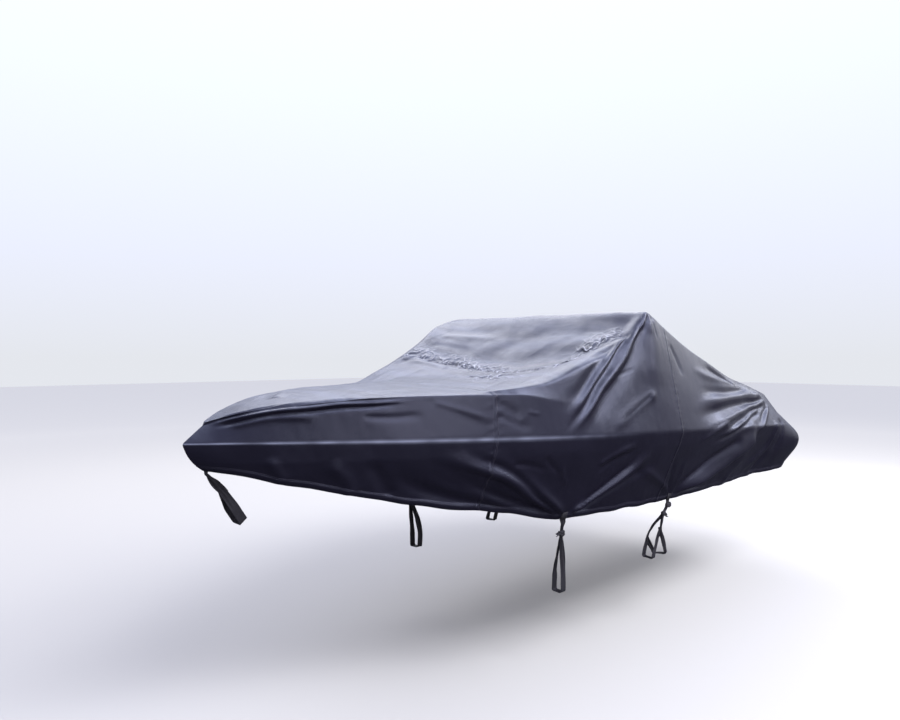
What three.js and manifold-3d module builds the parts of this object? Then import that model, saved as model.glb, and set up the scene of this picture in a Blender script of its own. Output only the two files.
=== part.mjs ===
// Fitted cover for a small open motor boat, tied down over its boat and road trailer.
// Three cross panels of coated cloth, sewn together at two cross seams, hang from a
// transverse support bar amidships, run forward over a windscreen and a railed foredeck,
// and aft to the stern corners.  Five webbing straps are sewn to the hem and tied in loops
// round the trailer's frame.  The boat, the bar and the trailer are not part of it.
//
// Millimetres.  +X points to the bow, +Y to port, +Z up.  The origin is the point under
// the top, on the centreline, where the support bar carries the cloth.

import * as THREE from 'three';
import Module from 'manifold-3d';
import { mergeVertices } from 'three/addons/utils/BufferGeometryUtils.js';

// ---------------------------------------------------------------- driving dimensions

const CLOTH = 2.0;             // thickness of the sheet
const TOUCH = 0.3;             // gap kept between pieces that touch
const BOW_TIP_X = 2278;        // foremost point of the gunwale edge
const COVER_LENGTH = 4380;     // bow tip to stern corner along the gunwale
const HALF_BEAM = 868;         // widest half beam, at the gunwale
const BOW_RUN = 2737;          // bow tip back to the widest section
const BOW_FULLNESS = 2.286;    // exponent of the gunwale's plan curve
const STERN_TAPER = 0.088;     // share of the beam lost from the widest section to the stern
const GUNWALE_Z = -612;        // gunwale edge at the bow tip
const SHEER_DROP = [50, 112];  // fall of the gunwale over the length, linear and square parts
const HEM_TUCK = 0.8;          // hem's half beam as a share of the gunwale's
const CORNER_RUN = 197;        // length over which the side turns round the stern corner
const CORNER_TURN = 90;        // how far the side comes in there
const STERN_BULGE = 62;        // how far the slack skirt stands out at the stern corner
const TRANSOM_CROWN = 34;      // how far the transom stands aft of its corners

const FORE_SEAM_X = 1095;      // cross seam between the bow and middle panels
const AFT_SEAM_X = -200;       // cross seam between the middle and stern panels
const FORE_STRAP_X = 585;      // side straps, port and starboard
const AFT_STRAP_X = -335;

const WEBBING = 40;            // strap width
const WEBBING_THICK = 1.6;
const TAB = 52;                // sewn end of each strap, measured up from the hem
const STEM_TAB = 22;           // half width of the bow strap's end, folded over the stem
const HEM_CLEAR = 6;           // how far below the hem a strap turns inwards

// Height of the hem along the side.
const HEM = [
  { x: 2190, z: -729 }, { x: 2080, z: -753 }, { x: 1890, z: -805 }, { x: 1630, z: -870 },
  { x: 1370, z: -933 }, { x: 930, z: -1013 }, { x: 600, z: -1083 }, { x: 160, z: -1094 },
  { x: -260, z: -1105 }, { x: -930, z: -1113 }, { x: -1500, z: -1106 }, { x: -2080, z: -1098 },
];

// Height of the crease over the foredeck rail.
const RAIL = [
  { x: 2195, z: -542 }, { x: 2100, z: -508 }, { x: 2000, z: -482 }, { x: 1900, z: -462 },
  { x: 1800, z: -449 }, { x: 1600, z: -435 }, { x: 1400, z: -430 }, { x: 1170, z: -431 },
  { x: 950, z: -435 }, { x: 730, z: -440 }, { x: 500, z: -447 },
];

// Upper edge of the side: inside the rail on the foredeck, then up the windscreen's side
// to the end of the support bar and down to the hard point at the stern.  lean is how far
// it lies inside the gunwale.
const EDGE = [
  { x: 2185, port: -527, starboard: -527, lean: 42 },
  { x: 2100, port: -497, starboard: -497, lean: 42 },
  { x: 2000, port: -471, starboard: -471, lean: 42 },
  { x: 1900, port: -452, starboard: -452, lean: 42 },
  { x: 1800, port: -440, starboard: -440, lean: 42 },
  { x: 1600, port: -427, starboard: -427, lean: 42 },
  { x: 1400, port: -422, starboard: -422, lean: 42 },
  { x: 1170, port: -422, starboard: -421, lean: 42 },
  { x: 1000, port: -405, starboard: -412, lean: 41 },
  { x: 834, port: -380, starboard: -348, lean: 40 },
  { x: 546, port: -273, starboard: -212, lean: 62 },
  { x: 306, port: -194, starboard: -74, lean: 82 },
  { x: 150, port: -130, starboard: -22, lean: 90 },
  { x: 80, port: -82, starboard: -2, lean: 94 },
  { x: 0, port: -8, starboard: 12, lean: 97 },
  { x: -100, port: -45, starboard: -32, lean: 107 },
  { x: -550, port: -212, starboard: -205, lean: 150 },
  { x: -990, port: -357, starboard: -350, lean: 158 },
  { x: -1170, port: -413, starboard: -413, lean: 160 },
  { x: -1450, port: -470, starboard: -470, lean: 144 },
  { x: -1780, port: -555, starboard: -555, lean: 128 },
];

// Height of the cloth along the centreline; it is lowest against the windscreen's foot.
const MIDDLE = [
  { x: 2172, z: -522 }, { x: 2100, z: -493 }, { x: 2000, z: -462 }, { x: 1800, z: -426 },
  { x: 1600, z: -410 }, { x: 1300, z: -399 }, { x: 1100, z: -394 }, { x: 800, z: -377 },
  { x: 600, z: -359 }, { x: 520, z: -346 }, { x: 470, z: -336 }, { x: 400, z: -302 },
  { x: 300, z: -228 }, { x: 200, z: -150 }, { x: 0, z: 4 }, { x: -150, z: -40 },
  { x: -300, z: -85 }, { x: -550, z: -175 }, { x: -990, z: -312 }, { x: -1450, z: -425 },
  { x: -1800, z: -515 },
];
const FOOT_SWEEP = 0.13;       // how far the windscreen's foot slants across the boat
const FOOT_CURL = 0.00045;     // and how it curls aft towards the port end of the bar

// Where each lengthwise line starts behind the bow tip and ends before the stern corner.
const LINE_ENDS = {
  hem: { bow: -88, stern: 20 },
  gunwale: { bow: 0, stern: 0 },
  rail: { bow: -83, stern: 170 },
  edge: { bow: -93, stern: 290 },
  middle: { bow: -106, stern: 260 },
};
const BOW_SHARE = 0.09;        // share of the length over which the bow starts close up
const STERN_SHARE = 0.24;      // and over which the stern ends open out
const LINE_FADE = 140;         // how soon a line that starts late joins the gunwale's curve
const EDGE_FADE = 250;         // length over which the upper edge's lean starts
const CREASE_FADE = [330, 730]; // x over which the rail's crease comes up out of the plain side
const RAIL_INSET = 12;         // how far the rail's crease lies inside the gunwale
const PLAIN_RAIL = 0.42;       // height of the rail line up the plain side aft of the crease
const TOP_HOLLOW = 2.2;        // how quickly the top falls from its edge to the middle

// Folds.  Each runs straight through its points, with its width growing from one end to
// the other; out is how far the ridge stands out, or in when it is negative.  Side folds
// are placed by x and z, folds of the top by x and y, folds of the transom by y and z.
const PORT_FOLDS = [
  { path: [[30, -55], [250, -205], [600, -400]], wide: [16, 40], out: -13 },
  { path: [[70, -100], [370, -330], [560, -440]], wide: [12, 30], out: 9 },
  { path: [[180, -170], [420, -400], [640, -520]], wide: [14, 34], out: -11 },
  { path: [[15, -40], [300, -300], [640, -585]], wide: [22, 48], out: 22 },
  { path: [[-15, -60], [150, -290], [520, -640]], wide: [18, 52], out: -14 },
  { path: [[-25, -50], [-40, -230], [-5, -440]], wide: [50, 110], out: 14 },
  { path: [[60, -480], [430, -640]], wide: [26, 40], out: 9 },
  { path: [[60, -540], [330, -640]], wide: [30, 40], out: -8 },
  { path: [[-110, -150], [-330, -420], [-300, -560]], wide: [30, 60], out: -8 },
  { path: [[-1640, -560], [-1100, -530], [-480, -560]], wide: [26, 55], out: 16 },
  { path: [[-1600, -575], [-950, -590], [-400, -650]], wide: [22, 55], out: -14 },
  { path: [[-1600, -570], [-1050, -655], [-520, -730]], wide: [24, 45], out: 17 },
  { path: [[-1560, -600], [-1150, -700], [-700, -790]], wide: [20, 40], out: -10 },
  { path: [[-1500, -610], [-1180, -745], [-760, -820]], wide: [18, 30], out: 10 },
  { path: [[-1640, -600], [-1560, -700], [-1280, -840]], wide: [20, 40], out: 14 },
  { path: [[-1280, -840], [-900, -980], [-370, -1098]], wide: [58, 20], out: 22 },
  { path: [[-1250, -930], [-800, -1050], [-370, -1104]], wide: [48, 18], out: -12 },
  { path: [[-1000, -870], [-640, -1000], [-350, -1090]], wide: [48, 18], out: -12 },
  { path: [[-1700, -760], [-1520, -930], [-1330, -1060]], wide: [36, 46], out: 12 },
  { path: [[-335, -1090], [-150, -990], [160, -860]], wide: [16, 40], out: 10 },
  { path: [[-330, -1085], [-250, -960], [-190, -820]], wide: [14, 34], out: -8 },
  { path: [[560, -1066], [300, -930], [20, -770]], wide: [18, 46], out: 16 },
  { path: [[545, -1074], [250, -990], [-60, -890]], wide: [16, 46], out: -10 },
  { path: [[590, -1062], [880, -920], [1210, -706]], wide: [18, 46], out: 15 },
  { path: [[594, -1070], [900, -975], [1200, -850], [1400, -740]], wide: [16, 42], out: 17 },
  { path: [[592, -1066], [890, -950], [1200, -780]], wide: [12, 32], out: -13 },
  { path: [[600, -1074], [960, -985], [1300, -880], [1500, -760]], wide: [14, 36], out: -11 },
  { path: [[1180, -960], [1480, -860], [1640, -760]], wide: [24, 34], out: 11 },
  { path: [[1650, -850], [1760, -760]], wide: [26, 34], out: 8 },
  { path: [[1300, -483], [1100, -580]], wide: [22, 30], out: -6 },
  { path: [[2090, -520], [1850, -480], [1540, -452], [1330, -450]], wide: [14, 22], out: -10 },
];
const STARBOARD_FOLDS = [
  { path: [[20, -60], [330, -320], [620, -560]], wide: [24, 56], out: 18 },
  { path: [[-10, -70], [180, -320], [470, -620]], wide: [20, 58], out: -13 },
  { path: [[60, -80], [350, -250], [640, -420]], wide: [16, 42], out: -11 },
  { path: [[-1640, -560], [-1150, -600], [-560, -640]], wide: [26, 55], out: 15 },
  { path: [[-1600, -590], [-1100, -680], [-560, -740]], wide: [22, 48], out: -12 },
  { path: [[-1560, -640], [-1200, -830], [-700, -990], [-360, -1096]], wide: [46, 20], out: 18 },
  { path: [[-1350, -960], [-850, -1050], [-370, -1104]], wide: [44, 18], out: -10 },
  { path: [[-335, -1090], [-120, -960], [120, -830]], wide: [16, 42], out: 12 },
  { path: [[560, -1066], [320, -940], [90, -800]], wide: [18, 44], out: 14 },
  { path: [[590, -1062], [860, -900], [1120, -730]], wide: [18, 46], out: 15 },
  { path: [[594, -1070], [950, -960], [1330, -800]], wide: [16, 44], out: 13 },
  { path: [[592, -1066], [900, -930], [1180, -770]], wide: [12, 34], out: -11 },
  { path: [[2090, -520], [1850, -480], [1500, -452]], wide: [14, 22], out: -9 },
];
const TOP_FOLDS = [
  { path: [[420, 560], [500, 100], [600, -560]], wide: [26, 30], out: -9 },
  { path: [[250, 380], [330, -60], [380, -480]], wide: [45, 60], out: 7 },
  { path: [[110, 520], [170, 120], [200, -300]], wide: [40, 60], out: -6 },
  { path: [[-120, 420], [-420, 300], [-900, 330]], wide: [60, 90], out: 14 },
  { path: [[-80, -360], [-500, -300], [-1100, -260]], wide: [60, 90], out: 14 },
  { path: [[-260, 30], [-700, 0], [-1300, 40]], wide: [70, 110], out: -16 },
  { path: [[1780, -60], [1500, -30], [1150, 60]], wide: [60, 80], out: 6 },
];
const TRANSOM_FOLDS = [
  { path: [[560, -600], [480, -820], [440, -1090]], wide: [40, 60], out: 14 },
  { path: [[120, -560], [60, -800], [90, -1090]], wide: [46, 60], out: -12 },
  { path: [[-480, -590], [-420, -860], [-450, -1090]], wide: [40, 60], out: 13 },
];

// ---------------------------------------------------------------- curves

// Curve through a table's rows that never overshoots them (monotone cubic).
function curveThrough(rows, key) {
  const r = [...rows].sort((a, b) => a.x - b.x);
  const x = r.map((p) => p.x);
  const v = r.map((p) => p[key]);
  const last = x.length - 1;
  const step = x.slice(1).map((xi, i) => xi - x[i]);
  const rise = step.map((h, i) => (v[i + 1] - v[i]) / h);
  const slope = v.map((_, i) => {
    if (i === 0 || i === last) return rise[Math.min(i, last - 1)];
    if (rise[i - 1] * rise[i] <= 0) return 0;
    const a = 2 * step[i] + step[i - 1];
    const b = step[i] + 2 * step[i - 1];
    return (a + b) / (a / rise[i - 1] + b / rise[i]);
  });
  return (at) => {
    const q = Math.min(Math.max(at, x[0]), x[last]);
    let i = 0;
    while (i < last - 1 && q > x[i + 1]) i += 1;
    const t = (q - x[i]) / step[i];
    const far = t * t * (3 - 2 * t);
    return v[i] * (1 - far) + v[i + 1] * far
      + step[i] * (slope[i] * t * (1 - t) ** 2 - slope[i + 1] * t * t * (1 - t));
  };
}

const clamp01 = (t) => Math.min(Math.max(t, 0), 1);
const ease = (t) => clamp01(t) ** 2 * (3 - 2 * clamp01(t));

const hemZ = curveThrough(HEM, 'z');
const railZ = curveThrough(RAIL, 'z');
const edgeZ = { 1: curveThrough(EDGE, 'port'), [-1]: curveThrough(EDGE, 'starboard') };
const edgeLean = curveThrough(EDGE, 'lean');
const middleZ = curveThrough(MIDDLE, 'z');

// Half beam of the gunwale: a power curve from the bow tip, then a slight taper aft.
function gunwaleY(x) {
  const toBow = 1 - clamp01((BOW_TIP_X - x) / BOW_RUN);
  const aft = Math.max(0, (BOW_TIP_X - BOW_RUN - x) / (COVER_LENGTH - BOW_RUN));
  return HALF_BEAM * (1 - toBow ** BOW_FULLNESS) * (1 - STERN_TAPER * aft ** 2);
}

function gunwaleZ(x) {
  const share = (BOW_TIP_X - x) / COVER_LENGTH;
  return GUNWALE_Z - SHEER_DROP[0] * share - SHEER_DROP[1] * share ** 2;
}

// Half beam of a line that starts behind the bow tip: the gunwale's, closed at its start.
function insetY(x, start) {
  return gunwaleY(x) - gunwaleY(start) * Math.exp((x - start) / LINE_FADE);
}

// x of one lengthwise line at share s of the length.
function lineX(line, s) {
  const { bow, stern } = LINE_ENDS[line];
  const atBow = clamp01(1 - s / BOW_SHARE) ** 1.6;
  const atStern = clamp01((s - 1 + STERN_SHARE) / STERN_SHARE) ** 1.8;
  return BOW_TIP_X - COVER_LENGTH * s + bow * atBow + stern * atStern;
}

// Quarter ellipse by which the side comes in round the stern corner.
function cornerTurn(s) {
  const t = clamp01(1 - (1 - s) * COVER_LENGTH / CORNER_RUN);
  return CORNER_TURN * (1 - Math.sqrt(1 - 0.98 * t * t));
}

// The four side points of the section at share s, from the hem up; side is 1 or -1.
function sidePoints(s, side) {
  const turn = cornerTurn(s);
  const at = (x, y, z) => new THREE.Vector3(x, Math.max(0, y), z);
  const xHem = lineX('hem', s);
  const hemStart = BOW_TIP_X + LINE_ENDS.hem.bow;
  const hem = at(xHem, HEM_TUCK * (insetY(xHem, hemStart) - turn), hemZ(xHem));
  const xGun = lineX('gunwale', s);
  const gunwale = at(xGun, gunwaleY(xGun) - turn, gunwaleZ(xGun));
  const xEdge = lineX('edge', s);
  const edgeStart = BOW_TIP_X + LINE_ENDS.rail.bow;
  const lean = edgeLean(xEdge) * clamp01((BOW_TIP_X + LINE_ENDS.edge.bow - xEdge) / EDGE_FADE);
  const edge = at(xEdge, insetY(xEdge, edgeStart) - lean - 0.4 * turn, edgeZ[side](xEdge));
  const xRail = lineX('rail', s);
  const creased = ease((xRail - CREASE_FADE[0]) / (CREASE_FADE[1] - CREASE_FADE[0]));
  const inset = RAIL_INSET * clamp01((edgeStart - xRail) / 100);
  const crease = at(xRail, insetY(xRail, edgeStart) - inset, railZ(xRail));
  const plain = gunwale.clone().lerp(edge, PLAIN_RAIL);
  plain.x = xRail;
  const rail = plain.lerp(crease, creased);
  return [hem, gunwale, rail, edge];
}

// ---------------------------------------------------------------- the draped surface

const HEM_LEG = [0, 'tab', 0.3, 0.5, 0.7, 0.88];
const GUNWALE_LEG = [0, 0.12, 0.4, 0.7];
const RAIL_LEG = [0, 0.2, 0.4, 0.6, 0.8];
const TOP_LEG = [0, 0.1, 0.25, 0.42, 0.6, 0.8, 1];
const SIDE_COLUMNS = HEM_LEG.length + GUNWALE_LEG.length + RAIL_LEG.length;
const HALF_COLUMNS = SIDE_COLUMNS + TOP_LEG.length;
const COLUMNS = 2 * HALF_COLUMNS - 1;

// Slack skirt near the stern corner stands out, most at half its height.
function skirtSlack(s, t) {
  return STERN_BULGE * ease((s - 0.86) / 0.12) * Math.sin(Math.PI * t) ** 1.2;
}

// Half a section, from the hem to the centreline.
function halfSection(s, side) {
  const [hem, gunwale, rail, edge] = sidePoints(s, side);
  const points = [];
  const leg = (from, to, shares, slack) => shares.forEach((share) => {
    const t = share === 'tab' ? Math.min(0.24, TAB / from.distanceTo(to)) : share;
    const p = from.clone().lerp(to, t);
    if (slack) {
      p.y += slack(t) * 0.6;
      p.x -= slack(t) * 0.8 * ease((s - 0.9) / 0.1);
    }
    points.push(p);
  });
  leg(hem, gunwale, HEM_LEG, (t) => skirtSlack(s, t));
  leg(gunwale, rail, GUNWALE_LEG);
  leg(rail, edge, RAIL_LEG);
  const xMiddle = lineX('middle', s);
  const foot = (x, y) => x + FOOT_SWEEP * y + FOOT_CURL * Math.max(0, y) ** 2;
  const rise = edge.z - middleZ(foot(edge.x, edge.y * side));
  TOP_LEG.forEach((inward) => {
    const outward = 1 - inward;
    const x = edge.x * outward + xMiddle * inward;
    const y = edge.y * outward;
    const z = middleZ(foot(x, y * side)) + rise * outward ** TOP_HOLLOW;
    points.push(new THREE.Vector3(x, y, z));
  });
  points.forEach((p) => { p.y *= side; });
  return points;
}

// A whole section, from the port hem over the top to the starboard hem.
function section(s) {
  const port = halfSection(s, 1);
  const starboard = halfSection(s, -1).reverse();
  const top = port[HALF_COLUMNS - 1];
  top.z = (top.z + starboard[0].z) / 2;
  return [...port, ...starboard.slice(1)];
}

const shareAt = (x) => (BOW_TIP_X - x) / COVER_LENGTH;

// Shares of the length where sections are cut, closer together where the cloth folds.
function stationShares() {
  const half = WEBBING / 2;
  const runs = [
    { to: BOW_TIP_X - 6, cells: 1 }, { to: BOW_TIP_X - STEM_TAB, cells: 1 },
    { to: BOW_TIP_X - 100, cells: 3 }, { to: 1950, cells: 4 }, { to: FORE_SEAM_X, cells: 9 },
    { to: FORE_STRAP_X + half, cells: 7 }, { to: FORE_STRAP_X - half, cells: 1 },
    { to: 0, cells: 11 }, { to: AFT_SEAM_X, cells: 3 },
    { to: AFT_STRAP_X + half, cells: 2 }, { to: AFT_STRAP_X - half, cells: 1 },
    { to: -1500, cells: 13 }, { to: BOW_TIP_X - COVER_LENGTH + CORNER_RUN, cells: 5 },
    { to: BOW_TIP_X - COVER_LENGTH, cells: 4 },
  ];
  const shares = [0];
  let from = BOW_TIP_X;
  runs.forEach(({ to, cells }) => {
    for (let i = 1; i <= cells; i += 1) shares.push(shareAt(from + (to - from) * i / cells));
    from = to;
  });
  return shares;
}

// Sum of the folds at a place given in the table's two coordinates.
function foldHeight(folds, a, b) {
  let sum = 0;
  folds.forEach(({ path, wide, out }) => {
    const lengths = path.slice(1).map((p, i) => Math.hypot(p[0] - path[i][0], p[1] - path[i][1]));
    const total = lengths.reduce((x, y) => x + y, 0);
    let best = { gap: Infinity, along: 0 };
    let before = 0;
    lengths.forEach((length, i) => {
      const [pa, pb] = path[i];
      const ua = (path[i + 1][0] - pa) / length;
      const ub = (path[i + 1][1] - pb) / length;
      const along = Math.min(Math.max((a - pa) * ua + (b - pb) * ub, 0), length);
      const gap = Math.hypot(a - pa - ua * along, b - pb - ub * along);
      if (gap < best.gap) best = { gap, along: (before + along) / total };
      before += length;
    });
    const width = wide[0] + (wide[1] - wide[0]) * best.along;
    const ends = ease(best.along / 0.12) * ease((1 - best.along) / 0.3);
    sum += out * ends * Math.exp(-((best.gap / width) ** 2));
  });
  return sum;
}

// Area-weighted normals of an indexed surface, and how much a mitred offset must grow
// where the faces round a point lean apart.
function surfaceNormals(points, faces) {
  const normals = points.map(() => new THREE.Vector3());
  const faceNormals = faces.map(([a, b, c]) => {
    const n = points[b].clone().sub(points[a]).cross(points[c].clone().sub(points[a]));
    [a, b, c].forEach((k) => normals[k].add(n));
    return n.normalize();
  });
  normals.forEach((n) => n.normalize());
  const lean = points.map(() => ({ sum: 0, count: 0 }));
  faces.forEach((face, f) => face.forEach((k) => {
    lean[k].sum += faceNormals[f].dot(normals[k]);
    lean[k].count += 1;
  }));
  const mitre = lean.map(({ sum, count }) => 1 / Math.max(0.58, sum / Math.max(1, count)));
  return { normals, mitre };
}

// The outer surface of the whole cover as points and triangles.  grid[i][j] numbers the
// point of section i and column j; the transom closes the last section down to its hem.
function drapedSurface() {
  const shares = stationShares();
  const points = [];
  const grid = shares.map((s, i) => {
    const row = section(s);
    return row.map((p, j) => {
      if (i === 0 && j >= HALF_COLUMNS) return -1;
      return points.push(p) - 1;
    });
  });
  grid[0].forEach((_, j) => { if (j >= HALF_COLUMNS) grid[0][j] = grid[0][COLUMNS - 1 - j]; });

  const transom = transomRows(points, grid[grid.length - 1]);
  const middles = shares.slice(1).map((s, i) => BOW_TIP_X - COVER_LENGTH * (s + shares[i]) / 2);
  const quads = [
    ...quadsBetween(grid, (i) => middles[i]),
    ...quadsBetween(transom, () => BOW_TIP_X - COVER_LENGTH),
  ];
  foldSurface(points, quads, grid, transom);
  return { points, quads, grid, shares };
}

// The quads between neighbouring rows of point numbers, facing out, each with its x.
function quadsBetween(rows, xOf) {
  return rows.slice(1).flatMap((next, i) => next.slice(1).map((_, j) => ({
    corners: [rows[i][j], next[j], next[j + 1], rows[i][j + 1]],
    x: xOf(i),
  })));
}

// Rows of point numbers down the transom; the first row is the top's last section.
function transomRows(points, lastSection) {
  const across = COLUMNS - 2 * SIDE_COLUMNS;
  const rows = [lastSection.slice(SIDE_COLUMNS, SIDE_COLUMNS + across)];
  const topEnds = [points[rows[0][0]], points[rows[0][across - 1]]];
  for (let r = 1; r <= SIDE_COLUMNS; r += 1) {
    const port = lastSection[SIDE_COLUMNS - r];
    const starboard = lastSection[COLUMNS - 1 - SIDE_COLUMNS + r];
    const down = r / SIDE_COLUMNS;
    const row = [port];
    for (let c = 1; c < across - 1; c += 1) {
      const straightTop = topEnds[0].clone().lerp(topEnds[1], c / (across - 1));
      const topShape = points[rows[0][c]].clone().sub(straightTop).multiplyScalar((1 - down) ** 1.5);
      const width = points[rows[0][c]].y / topEnds[0].y;
      const p = points[port].clone().lerp(points[starboard], (1 - width) / 2);
      p.add(new THREE.Vector3(topShape.x, 0, topShape.z));
      p.x -= TRANSOM_CROWN * Math.sin(Math.PI * down) ** 0.6 * (1 - width ** 4);
      row.push(points.push(p) - 1);
    }
    row.push(starboard);
    rows.push(row);
  }
  return rows;
}

// Raises the folds on the draped surface, along its normals.
function foldSurface(points, quads, grid, transom) {
  const { normals } = surfaceNormals(points, quads.flatMap(trianglesOf));
  const lift = points.map(() => 0);
  grid.forEach((row) => row.forEach((k, j) => {
    const p = points[k];
    const fromHem = Math.min(j, COLUMNS - 1 - j);
    const onSide = clamp01(1 - Math.max(0, fromHem - SIDE_COLUMNS) / 1.5);
    const onTop = clamp01((fromHem - SIDE_COLUMNS) / 2);
    const sideFolds = j < HALF_COLUMNS ? PORT_FOLDS : STARBOARD_FOLDS;
    lift[k] = onSide * foldHeight(sideFolds, p.x, p.z) + onTop * foldHeight(TOP_FOLDS, p.x, p.y);
  }));
  transom.slice(1).forEach((row, r) => row.slice(1, -1).forEach((k) => {
    const p = points[k];
    lift[k] = foldHeight(TRANSOM_FOLDS, p.y, p.z) * clamp01((r + 1) / 3);
  }));
  points.forEach((p, k) => p.addScaledVector(normals[k], lift[k]));
}

function trianglesOf({ corners: [a, b, c, d] }) {
  return [[a, b, c], [a, c, d]];
}

// ---------------------------------------------------------------- sheets and panels

function geometryFrom(points, faces) {
  const geometry = new THREE.BufferGeometry();
  const flat = new Float32Array(points.flatMap((p) => [p.x, p.y, p.z]));
  geometry.setAttribute('position', new THREE.BufferAttribute(flat, 3));
  geometry.setIndex(faces.flat());
  return geometry;
}

// Closed sheet between an outer and an inner skin that share one set of triangles.  Its rim
// is split by point number, so that two sheets that meet have rims that match.
function closedSheet(outer, inner, faces) {
  const used = [...new Set(faces.flat())].sort((a, b) => a - b);
  const number = new Map(used.map((k, i) => [k, i]));
  const points = [...used.map((k) => outer(k)), ...used.map((k) => inner(k))];
  const count = used.length;
  const all = [];
  const open = new Map();
  faces.forEach((face) => {
    const [a, b, c] = face.map((k) => number.get(k));
    all.push([a, b, c], [count + a, count + c, count + b]);
    [[a, b], [b, c], [c, a]].forEach(([p, q]) => {
      if (!open.delete(`${q},${p}`)) open.set(`${p},${q}`, [p, q]);
    });
  });
  open.forEach(([p, q]) => {
    const [low, high] = [count + p, count + q];
    if (p < q) all.push([q, p, low], [q, low, high]);
    else all.push([q, p, high], [p, low, high]);
  });
  return geometryFrom(points, all);
}

const cover = drapedSurface();
const coverFaces = cover.quads.flatMap(trianglesOf);
const coverSkin = surfaceNormals(cover.points, coverFaces);

// Direction of the length at each point of the section cut at share s, towards the bow.
function seamShifts(x, towardsBow) {
  const i = cover.shares.findIndex((s) => Math.abs(s - shareAt(x)) < 1e-9);
  const shifts = new Map();
  cover.grid[i].forEach((k, j) => {
    const ahead = cover.points[cover.grid[i - 1][j]];
    const behind = cover.points[cover.grid[i + 1][j]];
    const along = ahead.clone().sub(behind);
    along.addScaledVector(coverSkin.normals[k], -along.dot(coverSkin.normals[k]));
    shifts.set(k, along.normalize().multiplyScalar(towardsBow * TOUCH / 2));
  });
  return shifts;
}

// One cross panel: the part of the draped surface between two seams, given its thickness.
function panel(name, xBow, xStern, material) {
  const shifts = new Map([
    ...(xBow < BOW_TIP_X ? seamShifts(xBow, -1) : []),
    ...(xStern > BOW_TIP_X - COVER_LENGTH ? seamShifts(xStern, 1) : []),
  ]);
  const faces = cover.quads.filter(({ x }) => x < xBow && x >= xStern).flatMap(trianglesOf);
  const outer = (k) => cover.points[k].clone().add(shifts.get(k) ?? new THREE.Vector3());
  const inner = (k) => outer(k)
    .addScaledVector(coverSkin.normals[k], -CLOTH * coverSkin.mitre[k]);
  return namedMesh(name, closedSheet(outer, inner, faces), material);
}

function namedMesh(name, geometry, material) {
  const mesh = new THREE.Mesh(geometry, material);
  mesh.name = name;
  return mesh;
}

// ---------------------------------------------------------------- straps

const wasm = await Module();
wasm.setup();

function toSolid(geometry) {
  const bare = geometry.clone();
  bare.deleteAttribute('normal');
  bare.deleteAttribute('uv');
  const merged = mergeVertices(bare, 1e-4);
  return new wasm.Manifold(new wasm.Mesh({
    numProp: 3,
    vertProperties: new Float32Array(merged.attributes.position.array),
    triVerts: new Uint32Array(merged.index.array),
  }));
}

function toGeometry(solid) {
  const { vertProperties, triVerts, numProp } = solid.getMesh();
  const geometry = new THREE.BufferGeometry();
  const flat = new Float32Array(triVerts.length * 3);
  triVerts.forEach((v, i) => {
    flat.set(vertProperties.subarray(v * numProp, v * numProp + 3), i * 3);
  });
  geometry.setAttribute('position', new THREE.BufferAttribute(flat, 3));
  return mergeVertices(geometry, 1e-5);
}

// Closed band from rows of points on its near and far faces, both split the same way.
function band(rows) {
  const across = rows[0].near.length;
  const points = rows.flatMap(({ near, far }) => [...near, ...[...far].reverse()]);
  const round = 2 * across;
  const faces = [];
  for (let r = 0; r + 1 < rows.length; r += 1) {
    for (let k = 0; k < round; k += 1) {
      const [a, b] = [r * round + k, r * round + (k + 1) % round];
      if (k < across) faces.push([a, b, b + round], [a, b + round, a + round]);
      else faces.push([a, b, a + round], [b, b + round, a + round]);
    }
  }
  for (let k = 0; k + 1 < across; k += 1) {
    const [a, b, c, d] = [k, k + 1, round - 2 - k, round - 1 - k];
    const end = (rows.length - 1) * round;
    faces.push([a, d, c], [a, c, b], [end + a, end + b, end + c], [end + a, end + c, end + d]);
  }
  const turned = faces.map(([a, b, c]) => [a, c, b]);
  const solid = toSolid(geometryFrom(points, faces));
  return solid.volume() < 0 ? toSolid(geometryFrom(points, turned)) : solid;
}

// Rows of a band whose middle runs through a table's places.  turn is the heading of its
// width, in degrees about Z from +X; tip tilts the width up towards +Z; level keeps it flat.
function bandRows(table, side, across = 2) {
  const places = table.map(({ x, y, z }) => new THREE.Vector3(x, y * side, z));
  return table.map(({ width, turn = 0, tip = 0, level = false }, i) => {
    const ahead = places[Math.min(i + 1, places.length - 1)];
    const behind = places[Math.max(i - 1, 0)];
    const along = ahead.clone().sub(behind).normalize();
    const [yaw, pitch] = [turn * side, tip].map(THREE.MathUtils.degToRad);
    const wide = new THREE.Vector3(
      Math.cos(yaw) * Math.cos(pitch), Math.sin(yaw) * Math.cos(pitch), Math.sin(pitch));
    wide.addScaledVector(along, -wide.dot(along)).normalize();
    if (level) wide.setZ(0).normalize();
    const thick = wide.clone().cross(along).setLength(WEBBING_THICK / 2).multiplyScalar(side);
    const share = (k) => k / (across - 1) - 0.5;
    const offsets = Array.from({ length: across }, (_, k) => side * width * share(k));
    const middle = offsets.map((u) => places[i].clone().addScaledVector(wide, u));
    return {
      near: middle.map((p) => p.clone().sub(thick)), far: middle.map((p) => p.clone().add(thick)),
    };
  });
}

// Rows of a band's sewn end, which lies on the cover at the given point numbers.
function sewnRows(numberRows) {
  return numberRows.map((numbers) => {
    const lifted = (k, height) => cover.points[k].clone()
      .addScaledVector(coverSkin.normals[k], height * coverSkin.mitre[k]);
    return {
      near: numbers.map((k) => lifted(k, TOUCH)),
      far: numbers.map((k) => lifted(k, TOUCH + WEBBING_THICK)),
    };
  });
}

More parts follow.
